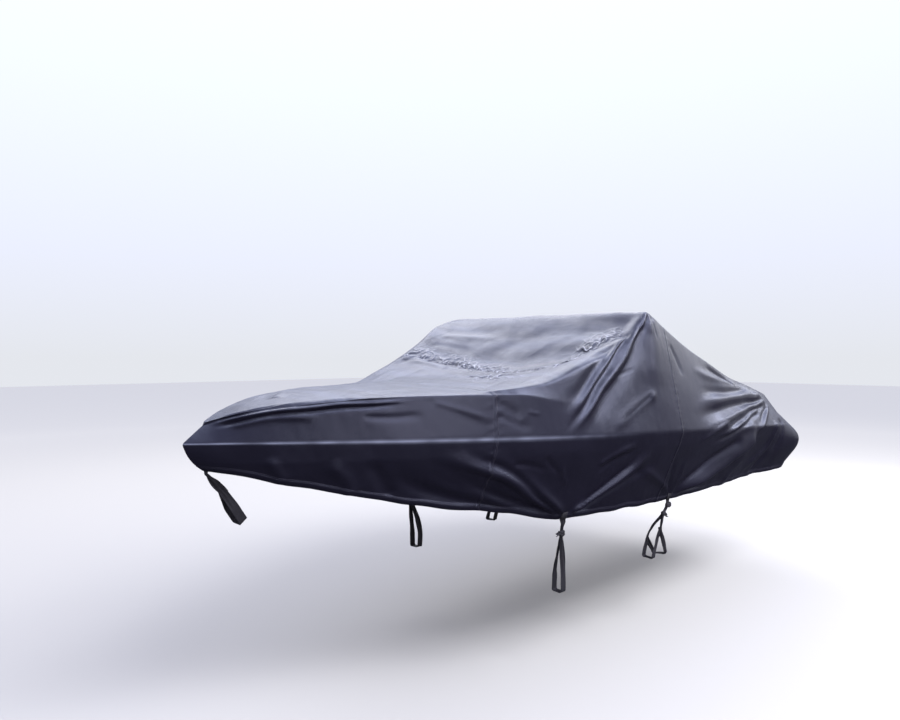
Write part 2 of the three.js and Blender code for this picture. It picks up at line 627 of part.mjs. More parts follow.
// A knot's lump: a ball drawn out along each axis.
function lump({ x, y, z, rx, ry, rz }, side) {
  const ball = new THREE.SphereGeometry(1, 10, 7);
  ball.rotateX(Math.PI / 2);
  ball.scale(rx, ry, rz);
  ball.rotateY(0.4);
  ball.translate(x, y * side, z);
  return toSolid(ball);
}

function strap(name, pieces, material) {
  const solid = pieces.slice(1).reduce((sum, piece) => sum.add(piece), pieces[0]);
  return namedMesh(name, toGeometry(solid), material);
}

// The band from a side strap's sewn end down into its knot.
function sideDrop(x, side, table) {
  const i = cover.shares.findIndex((s) => Math.abs(s - shareAt(x + WEBBING / 2)) < 1e-9);
  const column = (j) => (side > 0 ? j : COLUMNS - 1 - j);
  const stations = side > 0 ? [i + 1, i] : [i, i + 1];
  const numbers = [1, 0].map((j) => stations.map((k) => cover.grid[k][column(j)]));
  const sewn = sewnRows(numbers);
  return band([...sewn, belowHem(sewn[1]), ...bandRows(table, side)]);
}

// The row a little below a sewn end, straight down, so that the band clears the hem.
function belowHem({ near, far }) {
  const lower = (points) => points.map((p) => p.clone().setZ(p.z - HEM_CLEAR));
  return { near: lower(near), far: lower(far) };
}

// Fore straps: down from the hem to a knot, then once round an 80 x 60 mm beam.
const FORE_DROP = [
  { x: 584, y: 623, z: -1104, width: 38 }, { x: 581, y: 614, z: -1134, width: 30 },
  { x: 579, y: 609, z: -1162, width: 22 },
];
const FORE_LOOP = [
  { x: 578, y: 607, z: -1164, width: 20 }, { x: 572, y: 605, z: -1215, width: 32, turn: -12 },
  { x: 562, y: 603, z: -1310, width: 37, turn: -8 }, { x: 556, y: 601, z: -1391, width: 40 },
  { x: 555, y: 600.8, z: -1464, width: 40 }, { x: 555, y: 594, z: -1471, width: 40, level: true },
  { x: 550, y: 547, z: -1471, width: 40, level: true }, { x: 548, y: 539.2, z: -1464, width: 40 },
  { x: 544, y: 539, z: -1391, width: 40 }, { x: 550, y: 556, z: -1300, width: 34, turn: 20 },
  { x: 566, y: 588, z: -1210, width: 26, turn: 30 }, { x: 576, y: 605, z: -1162, width: 20, turn: 20 },
];
const FORE_END = [
  { x: 578, y: 609, z: -1160, width: 20, tip: 70 }, { x: 600, y: 613, z: -1157, width: 24, tip: 75 },
  { x: 622, y: 611, z: -1163, width: 22, tip: 80 },
];
const FORE_KNOT = [
  { x: 579, y: 609, z: -1160, rx: 21, ry: 12, rz: 17 },
  { x: 588, y: 612, z: -1154, rx: 14, ry: 10, rz: 12 },
];

// Aft straps: bunched under the hem and knotted, then round a 100 x 60 mm beam.
const AFT_DROP = [
  { x: -334, y: 697, z: -1124, width: 34 }, { x: -322, y: 696, z: -1150, width: 26 },
  { x: -297, y: 691, z: -1182, width: 18 },
];
const AFT_KNOTS = [
  { x: -334, y: 700, z: -1136, rx: 24, ry: 10, rz: 17 },
  { x: -296, y: 691, z: -1183, rx: 15, ry: 11, rz: 15 },
];
const AFT_END = [
  { x: -296, y: 691, z: -1182, width: 18, tip: 70 }, { x: -318, y: 694, z: -1192, width: 20, tip: 60 },
  { x: -338, y: 690, z: -1206, width: 20, tip: 50 },
];
const AFT_LOOP = [
  { x: -295, y: 690, z: -1186, width: 18, turn: 50 }, { x: -283, y: 686, z: -1245, width: 30, turn: 40 },
  { x: -272, y: 677, z: -1292, width: 34, turn: 10 }, { x: -260, y: 670, z: -1340, width: 36 },
  { x: -220, y: 668.8, z: -1433, width: 36 }, { x: -217, y: 662, z: -1440, width: 36, level: true },
  { x: -226, y: 611, z: -1440, width: 36, level: true }, { x: -228, y: 603.2, z: -1433, width: 36 },
  { x: -262, y: 603, z: -1344, width: 36 }, { x: -276, y: 630, z: -1270, width: 30, turn: 40 },
  { x: -290, y: 676, z: -1204, width: 20, turn: 40 }, { x: -295, y: 689, z: -1184, width: 18, turn: 30 },
];
// The port one is wound a second time, its bands crossing above the beam.
const AFT_SECOND_TURN = [
  { x: -276, y: 682, z: -1262, width: 28, turn: -20 }, { x: -290, y: 676, z: -1296, width: 34, turn: -8 },
  { x: -321, y: 671, z: -1338, width: 36 }, { x: -361, y: 668.8, z: -1433, width: 36 },
  { x: -364, y: 662, z: -1440, width: 36, level: true },
  { x: -334, y: 611, z: -1440, width: 36, level: true },
  { x: -331, y: 602.4, z: -1433, width: 36 }, { x: -272, y: 602.2, z: -1354, width: 34 },
  { x: -264, y: 603.4, z: -1340, width: 30 },
];

// Bow strap: sewn over the stem, turned edge on, then round the head of a winch post.
const BOW_DROP = [
  { x: 2166, y: 0, z: -757, width: 34, turn: -84 },
  { x: 2150, y: 0, z: -776, width: 34, turn: -55, tip: -20 },
  { x: 2134, y: 0, z: -794, width: 36, turn: -20, tip: -32 },
  { x: 2110, y: 1, z: -820, width: 36, tip: -40 }, { x: 2098, y: 3, z: -836, width: 36, tip: -40 },
];
const POST_HALF = 36;          // half width of the winch post's head, where the loop lies
const BOW_LOOP = [
  { x: 2114, y: 0.5, z: -816, width: 35 }, { x: 2088, y: 20, z: -860, width: 37 },
  { x: 2064, y: POST_HALF, z: -904, width: 40 }, { x: 2034, y: POST_HALF, z: -952, width: 40 },
  { x: 2029, y: POST_HALF - 7, z: -960, width: 40 },
];

function bowStrap(name, material) {
  const across = [[2, 1], [1, 1], [0, 1], [1, -1], [2, -1]];
  const sewn = [1, 0].map((j) => across.map(([i, side]) => (
    cover.grid[i][side > 0 ? j : COLUMNS - 1 - j])));
  const tab = sewnRows(sewn);
  const drop = band([...tab, belowHem(tab[1]), ...bandRows(BOW_DROP, 1, across.length)]);
  const halfLoop = BOW_LOOP.map((row) => ({ ...row, tip: -40 }));
  const back = [...halfLoop].reverse().map((row) => ({ ...row, y: -row.y }));
  const loop = band(bandRows([...halfLoop, ...back], 1));
  return strap(name, [drop, loop], material);
}

// ---------------------------------------------------------------- assembly

const clothFinish = () => new THREE.MeshStandardMaterial({
  color: 0x1b1d29, roughness: 0.48, metalness: 0.0,
});
const webbingFinish = () => new THREE.MeshStandardMaterial({
  color: 0x131318, roughness: 0.7, metalness: 0.0,
});

const boatCover = new THREE.Group();
boatCover.add(
  panel('panel_bow', BOW_TIP_X, FORE_SEAM_X, clothFinish()),
  panel('panel_mid', FORE_SEAM_X, AFT_SEAM_X, clothFinish()),
  panel('panel_stern', AFT_SEAM_X, BOW_TIP_X - COVER_LENGTH, clothFinish()),
  bowStrap('strap_bow', webbingFinish()),
);
[{ name: 'port', side: 1 }, { name: 'stbd', side: -1 }].forEach(({ name, side }) => {
  const knots = (list) => list.map((knot) => lump(knot, side));
  const rows = (table) => band(bandRows(table, side));
  boatCover.add(
    strap(`strap_${name}_fore`, [
      sideDrop(FORE_STRAP_X, side, FORE_DROP), rows(FORE_LOOP), rows(FORE_END), ...knots(FORE_KNOT),
    ], webbingFinish()),
    strap(`strap_${name}_aft`, [
      sideDrop(AFT_STRAP_X, side, AFT_DROP), rows(AFT_LOOP), rows(AFT_END), ...knots(AFT_KNOTS),
      ...(side > 0 ? [rows(AFT_SECOND_TURN)] : []),
    ], webbingFinish()),
  );
});

export default boatCover;
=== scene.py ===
import bpy
import numpy as np
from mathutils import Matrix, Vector


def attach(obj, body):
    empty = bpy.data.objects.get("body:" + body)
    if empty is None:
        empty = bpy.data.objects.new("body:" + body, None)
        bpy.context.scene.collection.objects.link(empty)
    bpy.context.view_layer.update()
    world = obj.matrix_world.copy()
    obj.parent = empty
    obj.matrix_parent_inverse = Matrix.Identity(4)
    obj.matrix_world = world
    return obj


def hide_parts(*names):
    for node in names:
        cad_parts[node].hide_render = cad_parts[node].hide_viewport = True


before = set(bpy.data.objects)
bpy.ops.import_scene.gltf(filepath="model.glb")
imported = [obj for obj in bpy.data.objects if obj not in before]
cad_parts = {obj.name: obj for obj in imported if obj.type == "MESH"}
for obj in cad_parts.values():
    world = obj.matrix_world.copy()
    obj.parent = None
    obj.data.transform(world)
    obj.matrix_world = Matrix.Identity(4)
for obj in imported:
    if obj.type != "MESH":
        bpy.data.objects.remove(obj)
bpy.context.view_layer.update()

# A fitted cover for a small open motor boat, tied down over its boat and road trailer, neither
# of which is shown.  Metres: +X to the bow, +Y to port, +Z up, with the origin under the top
# where the boat's support bar carries the cloth.

# ---------------------------------------------------------------- camera, floor and light
# The camera stands off the port bow at eye height above the ground that the trailer stands on.
# The floor is plain and pale under an even pale sky.  Soft boxes stand to port, starboard and
# aft; dark sheets and screens that show in reflections alone keep the skirt deep in tone.

EYE = Vector((3.3485, 2.7159, -0.2609))
LOOKING = Vector((-0.6858, -0.7278, 0.0))
LENS_MM = 26.82
HORIZON_SHIFT = -0.0027
GROUND = -1.845

scene = bpy.context.scene
camera = bpy.data.objects.new("camera", bpy.data.cameras.new("camera"))
camera.location = EYE
camera.rotation_euler = LOOKING.to_track_quat("-Z", "Y").to_euler()
camera.data.lens = LENS_MM
camera.data.sensor_width = 36
camera.data.shift_y = HORIZON_SHIFT
scene.collection.objects.link(camera)
scene.camera = camera
scene.view_settings.view_transform = "Standard"


def plain_material(name, colour, roughness):
    """One even finish, for the stage only."""
    material = bpy.data.materials.new(name)
    material.use_nodes = True
    shader = material.node_tree.nodes["Principled BSDF"]
    shader.inputs["Base Color"].default_value = (*colour, 1)
    shader.inputs["Roughness"].default_value = roughness
    shader.inputs["Specular IOR Level"].default_value = 0
    return material


def soft_box(name, place, target, size, power, colour=(1, 1, 1)):
    """A rectangular area light at place, facing target."""
    light = bpy.data.lights.new(name, "AREA")
    light.shape = "RECTANGLE"
    light.size, light.size_y = size
    light.energy = power
    light.color = colour
    lamp = bpy.data.objects.new(name, light)
    lamp.location = place
    lamp.visible_camera = False
    lamp.rotation_euler = (Vector(target) - Vector(place)).to_track_quat("-Z", "Y").to_euler()
    scene.collection.objects.link(lamp)


def stage_piece(name, points, faces, colour, roughness):
    """A mesh of the stage in one plain finish."""
    mesh = bpy.data.meshes.new(name)
    mesh.from_pydata(points, [], faces)
    mesh.materials.append(plain_material(name + "_paint", colour, roughness))
    piece = bpy.data.objects.new(name, mesh)
    scene.collection.objects.link(piece)
    return piece


def level_sheet(name, half, height, colour):
    """A level square of the stage, centred under the cover."""
    corners = [(-half, -half, height), (half, -half, height), (half, half, height), (-half, half, height)]
    return stage_piece(name, corners, [(0, 1, 2, 3)], colour, 0.9)


def only_reflected(flag):
    """A flag that shows only in reflections, to take the floor's or horizon's glare off the cloth."""
    flag.visible_camera = False
    flag.visible_shadow = False
    flag.visible_diffuse = False


def two_tone(tree, measure, span, tones, target):
    """Feeds target the first of two tones below the span, the second above it, blended between."""
    share = tree.nodes.new("ShaderNodeMapRange")
    share.inputs["From Min"].default_value, share.inputs["From Max"].default_value = span
    blend = tree.nodes.new("ShaderNodeMix")
    blend.data_type = "RGBA"
    blend.inputs[6].default_value, blend.inputs[7].default_value = tones
    tree.links.new(measure, share.inputs["Value"])
    tree.links.new(share.outputs["Result"], blend.inputs[0])
    tree.links.new(blend.outputs[2], target)


FLOOR_TONES = [(0.37, 0.355, 0.33, 1), (0.64, 0.60, 0.50, 1)]
FLOOR_PALES = (3.0, 13.0)      # distance from the cover over which the floor turns to its far tone
FLOOR_HALF, DARK_HALF = 40, 14
DARK_LIFT = 0.004              # the dark sheet lies just above the floor

floor_paint = level_sheet("floor", FLOOR_HALF, GROUND, FLOOR_TONES[0][:3]).data.materials[0].node_tree
spot = floor_paint.nodes.new("ShaderNodeTexCoord")
away = floor_paint.nodes.new("ShaderNodeVectorMath")
away.operation = "LENGTH"
floor_paint.links.new(spot.outputs["Object"], away.inputs[0])
two_tone(floor_paint, away.outputs["Value"], FLOOR_PALES, FLOOR_TONES,
         floor_paint.nodes["Principled BSDF"].inputs["Base Color"])
only_reflected(level_sheet("dark_ground", DARK_HALF, GROUND + DARK_LIFT, (0.03, 0.03, 0.035)))

SKY_TONES = [(0.78, 0.80, 0.85, 1), (1.12, 1.22, 1.70, 1)]
SKY_RISE = (0.0, 0.75)         # height of the view direction from the horizon's tone to the high one

sky = bpy.data.worlds.new("sky")
sky.use_nodes = True
direction = sky.node_tree.nodes.new("ShaderNodeTexCoord")
up_share = sky.node_tree.nodes.new("ShaderNodeSeparateXYZ")
sky.node_tree.links.new(direction.outputs["Generated"], up_share.inputs[0])
two_tone(sky.node_tree, up_share.outputs["Z"], SKY_RISE, SKY_TONES,
         sky.node_tree.nodes["Background"].inputs["Color"])
scene.world = sky

soft_box("far_box", (-2.5, -4.6, 5.4), (0.1, 0, -0.3), (7.5, 4.0), 560, (0.95, 0.96, 1.0))
soft_box("high_box", (0.8, 4.4, 4.6), (0.8, 0.3, -0.5), (5.0, 2.6), 590, (0.88, 0.90, 1.0))
soft_box("aft_box", (-4.6, 4.6, 3.7), (-0.7, 0.6, -0.4), (5.0, 2.6), 790, (0.90, 0.92, 1.0))
soft_box("stern_box", (-7.8, 0.7, 1.25), (-1.0, 0.7, -0.45), (2.6, 1.1), 26, (0.97, 0.98, 1.0))
soft_box("low_box", (2.2, 6.4, 0.5), (1.3, 0.6, -0.6), (3.8, 1.8), 230, (1.0, 0.98, 1.0))

# Low screens round the stern and the starboard side take the glare off the cloth: bearings in
# degrees from the bow, towards port.
SCREENS = [{"name": "aft_screen", "from": 173, "to": 226, "top": 1.0, "shade": (0.03, 0.03, 0.04)},
           {"name": "side_screen", "from": 226, "to": 290, "top": 1.0, "shade": (0.42, 0.43, 0.49)}]
SCREEN_RADIUS, SCREEN_STRIPS = 9.0, 24
for row in SCREENS:
    bearing = np.radians(np.linspace(row["from"], row["to"], SCREEN_STRIPS + 1))
    rim = np.stack([SCREEN_RADIUS * np.cos(bearing), SCREEN_RADIUS * np.sin(bearing)], -1)
    edges = [(x, y, z) for z in (GROUND, row["top"]) for x, y in rim]
    strips = [(i, i + 1, i + SCREEN_STRIPS + 2, i + SCREEN_STRIPS + 1) for i in range(SCREEN_STRIPS)]
    only_reflected(stage_piece(row["name"], edges, strips, row["shade"], 1.0))

# ---------------------------------------------------------------- how the cloth hangs
# The cloth runs from its hem up over the gunwale, over the foredeck's rail or up to the upper
# edge under the support bar, and across the top.  Lines along the length give each section;
# the legs between them give its points.  The bow ends in a closed stem, and the stern
# in rounded corners with the transom panel hanging between them.

BOW_TIP = 2.278                # foremost point of the gunwale edge
COVER_LENGTH = 4.380           # bow tip to stern corner along the gunwale
HALF_BEAM = 0.868              # widest half beam, at the gunwale
BOW_RUN = 2.737                # bow tip back to the widest section
BOW_FULLNESS = 2.286           # exponent of the gunwale's plan curve
STERN_TAPER = 0.088            # share of the beam lost from the widest section to the stern
GUNWALE_Z = -0.612             # gunwale edge at the bow tip
SHEER_DROP = (0.050, 0.112)    # fall of the gunwale over the length, linear and square parts
HEM_TUCK = 0.8                 # hem's half beam as a share of the gunwale's
STERN_HEM = (0.10, 0.060)      # how much less the hem tucks in at the stern, and how far aft
CORNER_RUN = 0.197             # length over which the side turns round the stern corner
CORNER_TURN = 0.090            # how far the side comes in there
CORNER_ROUND = 0.98            # how near its quarter ellipse comes to a full one
EDGE_TURN = 0.4                # the upper edge's share of that
STERN_BULGE = 0.100            # slack of the skirt round the stern corner
STEM_BULGE = 0.018             # how far the skirt stands out at the stem
HEM_UNEVEN = 0.0022            # uneven waves in the height of the hem
LINE_FADE = 0.140              # length over which a line that starts inside the bow joins the gunwale
EDGE_FADE = 0.250              # length over which the upper edge's lean starts
CREASE_FADE = (0.420, 0.980)   # x over which the rail comes to crease the cloth
RAIL_INSET = 0.012             # how far the rail lies inside the gunwale
RAIL_FADE = 0.1                # length over which that starts
PLAIN_RAIL = 0.42              # where aft of the rail its line runs, from the gunwale to the edge
TOP_HOLLOW = 1.8               # exponent of the top's fall from its edges to its middle
FOOT_SWEEP = 0.13              # slant of the windscreen's foot across the top
FOOT_CURL = 0.45               # and how it curls aft to port
SWEEP_SPAN = (0.02, 0.42)      # x over which the foot's slant sets in
FORE_SEAM = 1.095
AFT_SEAM = -0.200

# Heights along the length of the hem, the crease over the foredeck's rail, the upper edge with
# how far it leans in from the gunwale, and the middle line.
HEM = {"x": [2.190, 2.080, 1.890, 1.630, 1.370, 0.930, 0.600, 0.160, -0.260, -0.930, -1.500, -2.080],
       "z": [-.729, -.753, -.805, -.870, -.933, -1.013, -1.083, -1.094, -1.105, -1.113, -1.106, -1.098]}
RAIL = {"x": [2.195, 2.100, 2.000, 1.900, 1.800, 1.600, 1.400, 1.170, 0.950, 0.730, 0.500],
        "z": [-.542, -.508, -.482, -.462, -.449, -.435, -.430, -.431, -.435, -.440, -.447]}
EDGE = {"x": [2.185, 2.100, 2.000, 1.900, 1.800, 1.600, 1.400, 1.170, 1.000, 0.834, 0.546,
              0.306, 0.150, 0.080, 0.000, -0.100, -0.550, -0.990, -1.170, -1.450, -1.780],
        "port": [-.527, -.497, -.471, -.452, -.440, -.427, -.422, -.422, -.405, -.380, -.273,
                 -.194, -.130, -.082, -.006, -.045, -.205, -.340, -.393, -.455, -.532],
        "starboard": [-.527, -.497, -.471, -.452, -.440, -.427, -.422, -.421, -.412, -.348, -.212,
                      -.074, -.022, -.002, .012, -.032, -.200, -.335, -.393, -.455, -.532],
        "lean": [.042, .042, .042, .042, .042, .042, .042, .042, .041, .040, .062,
                 .082, .090, .094, .097, .107, .150, .158, .160, .144, .128]}
MIDDLE = {"x": [2.172, 2.100, 2.000, 1.800, 1.600, 1.300, 1.100, 0.800, 0.600, 0.520, 0.470,
                0.400, 0.300, 0.200, 0.000, -0.150, -0.300, -0.550, -0.990, -1.450, -1.800],
          "z": [-.522, -.493, -.462, -.426, -.410, -.399, -.394, -.377, -.359, -.346, -.336,
                -.302, -.228, -.150, .004, -.040, -.085, -.172, -.298, -.408, -.498]}
# How far each line starts from the bow tip and ends from the stern corner.
LINE_ENDS = {"hem": (-.088, .020), "gunwale": (0, 0), "rail": (-.083, .170),
             "edge": (-.093, .290), "middle": (-.106, .260)}
BOW_SHARE, BOW_POWER = 0.09, 1.6         # share of the length over which the lines start close up
STERN_SHARE, STERN_POWER = 0.24, 1.8     # and over which they end
# Shares of the length between which something sets in, from none of it to all of it.
SPANS = {"hem_waves": (0.00, 0.06), "stern_hem": (0.84, 0.98), "stern_slack": (0.88, 0.98),
         "skirt_aft": (0.90, 1.00), "rub_rail_bow": (0.00, 0.08), "rub_rail_stern": (0.97, 0.87),
         "stem": (0.06, 0.00), "scallops": (0.00, 0.05)}


def curve_through(x, v):
    """Monotone cubic through the points (harmonic-mean slopes), level beyond its ends."""
    order = np.argsort(x)
    x, v = np.array(x, float)[order], np.array(v, float)[order]
    step = np.diff(x)
    rise = np.diff(v) / step
    near, far = 2 * step[1:] + step[:-1], step[1:] + 2 * step[:-1]
    same_way = rise[:-1] * rise[1:] > 0
    safe = [np.where(same_way, r, 1) for r in (rise[:-1], rise[1:])]
    inner = np.where(same_way, (near + far) / (near / safe[0] + far / safe[1]), 0)
    slope = np.concatenate([rise[:1], inner, rise[-1:]])

    def at(q):
        """The curve's value at q."""
        q = np.clip(q, x[0], x[-1])
        i = np.clip(np.searchsorted(x, q, side="left") - 1, 0, len(step) - 1)
        t = (q - x[i]) / step[i]
        share = t * t * (3 - 2 * t)
        bend = slope[i] * t * (1 - t) ** 2 - slope[i + 1] * t * t * (1 - t)
        return v[i] * (1 - share) + v[i + 1] * share + step[i] * bend
    return at


def ease(t):
    """Smooth step from 0 to 1: three times the square less twice the cube."""
    t = np.clip(t, 0, 1)
    return t * t * (3 - 2 * t)


def ramp(v, start, end):
    """Smooth step of v, 0 at start and 1 at end, which may be the lower one."""
    return ease((v - start) / (end - start))


def ripple(a, b, size, seed, waves=7):
    """Soft uneven waves about size long: a sum of sines with seeded directions and phases."""
    rng = np.random.default_rng(seed)
    total = np.zeros(np.broadcast(a, b).shape)
    for _ in range(waves):
        turn, phase = rng.uniform(0, 2 * np.pi, 2)
        pitch = 2 * np.pi / (size * rng.uniform(0.6, 1.5))
        total += np.sin(pitch * (a * np.cos(turn) + b * np.sin(turn)) + phase)
    return total / np.sqrt(waves)


hem_z = curve_through(HEM["x"], HEM["z"])
rail_z = curve_through(RAIL["x"], RAIL["z"])
edge_z = {1: curve_through(EDGE["x"], EDGE["port"]), -1: curve_through(EDGE["x"], EDGE["starboard"])}
edge_lean = curve_through(EDGE["x"], EDGE["lean"])
middle_z = curve_through(MIDDLE["x"], MIDDLE["z"])


def gunwale_y(x):
    """Half beam: a power curve from the bow tip, then a slight taper aft."""
    to_bow = 1 - np.clip((BOW_TIP - x) / BOW_RUN, 0, 1)
    aft = np.maximum(0, (BOW_TIP - BOW_RUN - x) / (COVER_LENGTH - BOW_RUN))
    return HALF_BEAM * (1 - to_bow ** BOW_FULLNESS) * (1 - STERN_TAPER * aft ** 2)


def gunwale_z(x):
    """Sheer: linear and square fall from the bow tip."""
    share = (BOW_TIP - x) / COVER_LENGTH
    return GUNWALE_Z - SHEER_DROP[0] * share - SHEER_DROP[1] * share ** 2


def inset_y(x, start):
    """Half beam of a line that starts behind the bow tip and soon joins the gunwale's curve."""
    return gunwale_y(x) - gunwale_y(start) * np.exp((x - start) / LINE_FADE)


def line_x(line, s):
    """x of one lengthwise line at share s of the length: even steps, shifted at either end by a
    power of the share of that end."""
    bow, stern = LINE_ENDS[line]
    at_bow = np.clip(1 - s / BOW_SHARE, 0, 1) ** BOW_POWER
    at_stern = np.clip((s - 1 + STERN_SHARE) / STERN_SHARE, 0, 1) ** STERN_POWER
    return BOW_TIP - COVER_LENGTH * s + bow * at_bow + stern * at_stern


def corner_turn(s):
    """Quarter ellipse by which the side comes in round the stern corner."""
    t = np.clip(1 - (1 - s) * COVER_LENGTH / CORNER_RUN, 0, 1)
    return CORNER_TURN * (1 - np.sqrt(1 - CORNER_ROUND * t * t))


def side_lines(s, side):
    """Hem, gunwale, rail and upper edge at the shares s, as arrays of points; side is 1 or -1."""
    def at(x, y, z):
        """Points, none of them past the centreline."""
        return np.stack([x, np.maximum(y, 0), z], -1)
    turn = corner_turn(s)
    x_hem = line_x("hem", s)
    hem_start = BOW_TIP + LINE_ENDS["hem"][0]
    aft = ramp(s, *SPANS["stern_hem"])
    tuck = HEM_TUCK + STERN_HEM[0] * aft
    uneven = HEM_UNEVEN * ramp(s, *SPANS["hem_waves"]) * ripple(x_hem, 0, 0.20, 17 + side)
    hem = at(x_hem - STERN_HEM[1] * aft, tuck * (inset_y(x_hem, hem_start) - turn), hem_z(x_hem) + uneven)
    x_gunwale = line_x("gunwale", s)
    gunwale = at(x_gunwale, gunwale_y(x_gunwale) - turn, gunwale_z(x_gunwale))
    x_edge = line_x("edge", s)
    rail_start = BOW_TIP + LINE_ENDS["rail"][0]
    edge_start = BOW_TIP + LINE_ENDS["edge"][0]
    lean = edge_lean(x_edge) * np.clip((edge_start - x_edge) / EDGE_FADE, 0, 1)
    edge = at(x_edge, inset_y(x_edge, rail_start) - lean - EDGE_TURN * turn, edge_z[side](x_edge))
    x_rail = line_x("rail", s)
    creased = ramp(x_rail, *CREASE_FADE)[:, None]
    inset = RAIL_INSET * np.clip((rail_start - x_rail) / RAIL_FADE, 0, 1)
    crease = at(x_rail, inset_y(x_rail, rail_start) - inset, rail_z(x_rail))
    plain = gunwale + (edge - gunwale) * PLAIN_RAIL
    plain[:, 0] = x_rail
    return hem, gunwale, plain * (1 - creased) + crease * creased, edge


HEM_TURN = 0.028               # width of the turned hem
HEM_STEP = 0.0012              # its edge takes this much of the cloth
HEM_EDGES = [0, HEM_STEP, HEM_TURN, HEM_TURN + HEM_STEP]
HEM_CELLS, GUNWALE_CELLS, RAIL_CELLS, TOP_CELLS = 34, 28, 34, 65
GUNWALE_COLUMN = len(HEM_EDGES) + HEM_CELLS - 1
SIDE_COLUMNS = len(HEM_EDGES) + HEM_CELLS - 1 + GUNWALE_CELLS + RAIL_CELLS
HALF_COLUMNS = SIDE_COLUMNS + TOP_CELLS + 1
COLUMNS = 2 * HALF_COLUMNS - 1
RUB_RAIL = (0.088, 0.009)      # height of the boat's rub rail and how far it pushes the cloth out
SLACK = {"power": 1.4, "out": 0.6, "aft": 0.8}     # how low the stern's slack lies, and which way
STEM_POWER = 0.8               # how high the stem's bulge lies
RAIL_CROWD = 1.3               # points crowd towards the upper edge


def half_section(s, side):
    """Points from hem to centreline, as (stations, columns, 3), all with positive y: straight legs
    between the lines, with sine bulges where the skirt is slack, and a top that falls from its
    edge to the middle line by a power of the distance."""
    hem, gunwale, rail, edge = side_lines(s, side)
    hem_leg = np.linalg.norm(gunwale - hem, axis=1)[:, None]
    fine = np.array(HEM_EDGES)[None] / np.maximum(hem_leg, 0.1)
    rest = fine[:, -1:] + (1 - fine[:, -1:]) * np.arange(1, HEM_CELLS)[None] / HEM_CELLS
    t = np.concatenate([fine, rest], 1)
    loose = ramp(s, *SPANS["stern_slack"])[:, None]
    skirt = hem[:, None] + (gunwale - hem)[:, None] * t[..., None]
    slack = STERN_BULGE * loose * np.sin(np.pi * t ** SLACK["power"])
    down = (1 - t) * hem_leg
    lip = np.where(down < RUB_RAIL[0], down / RUB_RAIL[0],
                   (hem_leg - down) / np.maximum(hem_leg - RUB_RAIL[0], 0.05))
    pushed = ramp(s, *SPANS["rub_rail_stern"]) * ramp(s, *SPANS["rub_rail_bow"])
    lip = lip * RUB_RAIL[1] * pushed[:, None]
    skirt[..., 1] += slack * SLACK["out"] + lip
    skirt[..., 0] -= slack * SLACK["aft"] * ramp(s, *SPANS["skirt_aft"])[:, None]
    skirt[..., 0] += STEM_BULGE * np.sin(np.pi * t ** STEM_POWER) * ramp(s, *SPANS["stem"])[:, None]

    def leg(start, end, cells, crowded=1.0):
        """Straight leg from start towards end, its points crowded towards the end by a power."""
        share = 1 - (1 - np.arange(cells)[None, :, None] / cells) ** crowded
        return start[:, None] + (end - start)[:, None] * share
    inward = np.linspace(0, 1, TOP_CELLS + 1)[None]
    outward = 1 - inward
    x = edge[:, :1] * outward + line_x("middle", s)[:, None] * inward
    y = edge[:, 1:2] * outward

    def hollow(x, y):
        """Height of the middle line, read further forward by a linear and a square part of y."""
        swept = FOOT_SWEEP * y + FOOT_CURL * np.maximum(0, y) ** 2
        return middle_z(x + swept * ramp(x, *SWEEP_SPAN))
    rise = edge[:, 2:] - hollow(edge[:, :1], edge[:, 1:2] * side)
    top = np.stack([x, y, hollow(x, y * side) + rise * outward ** TOP_HOLLOW], -1)
    return np.concatenate([skirt, leg(gunwale, rail, GUNWALE_CELLS),
                           leg(rail, edge, RAIL_CELLS, RAIL_CROWD), top], 1)


FROM_HEM = np.minimum(np.arange(COLUMNS), np.arange(COLUMNS)[::-1])   # columns in from the nearer hem
PLAIN_PASSES = 2                               # of smoothing, and as many more at the upper edge
GLASS_PASSES, EDGE_COLUMNS = 110, 13           # more beside the windscreen, and how far they reach
GLASS_SPANS = [(0.22, 0.42), (1.10, 0.85)]     # x over which those set in
GUNWALE_PASSES, GUNWALE_COLUMNS = (1.2, 4.8), 4        # at the gunwale aft, and how many more forward
GUNWALE_SPAN = (0.3, 1.2)                      # x between the two


def softening(s):
    """Smoothing passes across the sections: few at a hard crease, many where the cloth rounds over
    the gunwale forward and, in a bell curve, over the windscreen's side edges, none at the hem."""
    x = BOW_TIP - COVER_LENGTH * s[:, None]
    beside_glass = ramp(x, *GLASS_SPANS[0]) * ramp(x, *GLASS_SPANS[1])
    bell = np.exp(-((FROM_HEM[None] - SIDE_COLUMNS) / EDGE_COLUMNS) ** 2)
    passes = PLAIN_PASSES + (PLAIN_PASSES + GLASS_PASSES * beside_glass) * bell
    at_gunwale = np.abs(FROM_HEM[None] - GUNWALE_COLUMN) < GUNWALE_COLUMNS
    passes = np.where(at_gunwale, GUNWALE_PASSES[0] + GUNWALE_PASSES[1] * ramp(x, *GUNWALE_SPAN), passes)
    return np.where(FROM_HEM[None] < len(HEM_EDGES) + 1, 0, passes)


def bare_sections(s):
    """Whole sections from the port hem over the top to the starboard hem, creases softened: each
    pass moves a point half way to the mean of its neighbours across."""
    port, starboard = half_section(s, 1), half_section(s, -1)
    middle = (port[:, -1:, 2] + starboard[:, -1:, 2]) / 2
    port[:, -1, 2] = middle[:, 0]
    starboard[..., 1] *= -1
    points = np.concatenate([port, starboard[:, -2::-1]], 1)
    passes = softening(s)[:, 1:-1, None]
    for n in range(int(passes.max()) + 1):
        bend = (points[:, :-2] + points[:, 2:] - 2 * points[:, 1:-1]) / 4
        points[:, 1:-1] += bend * np.clip(passes - n, 0, 1)
    return points


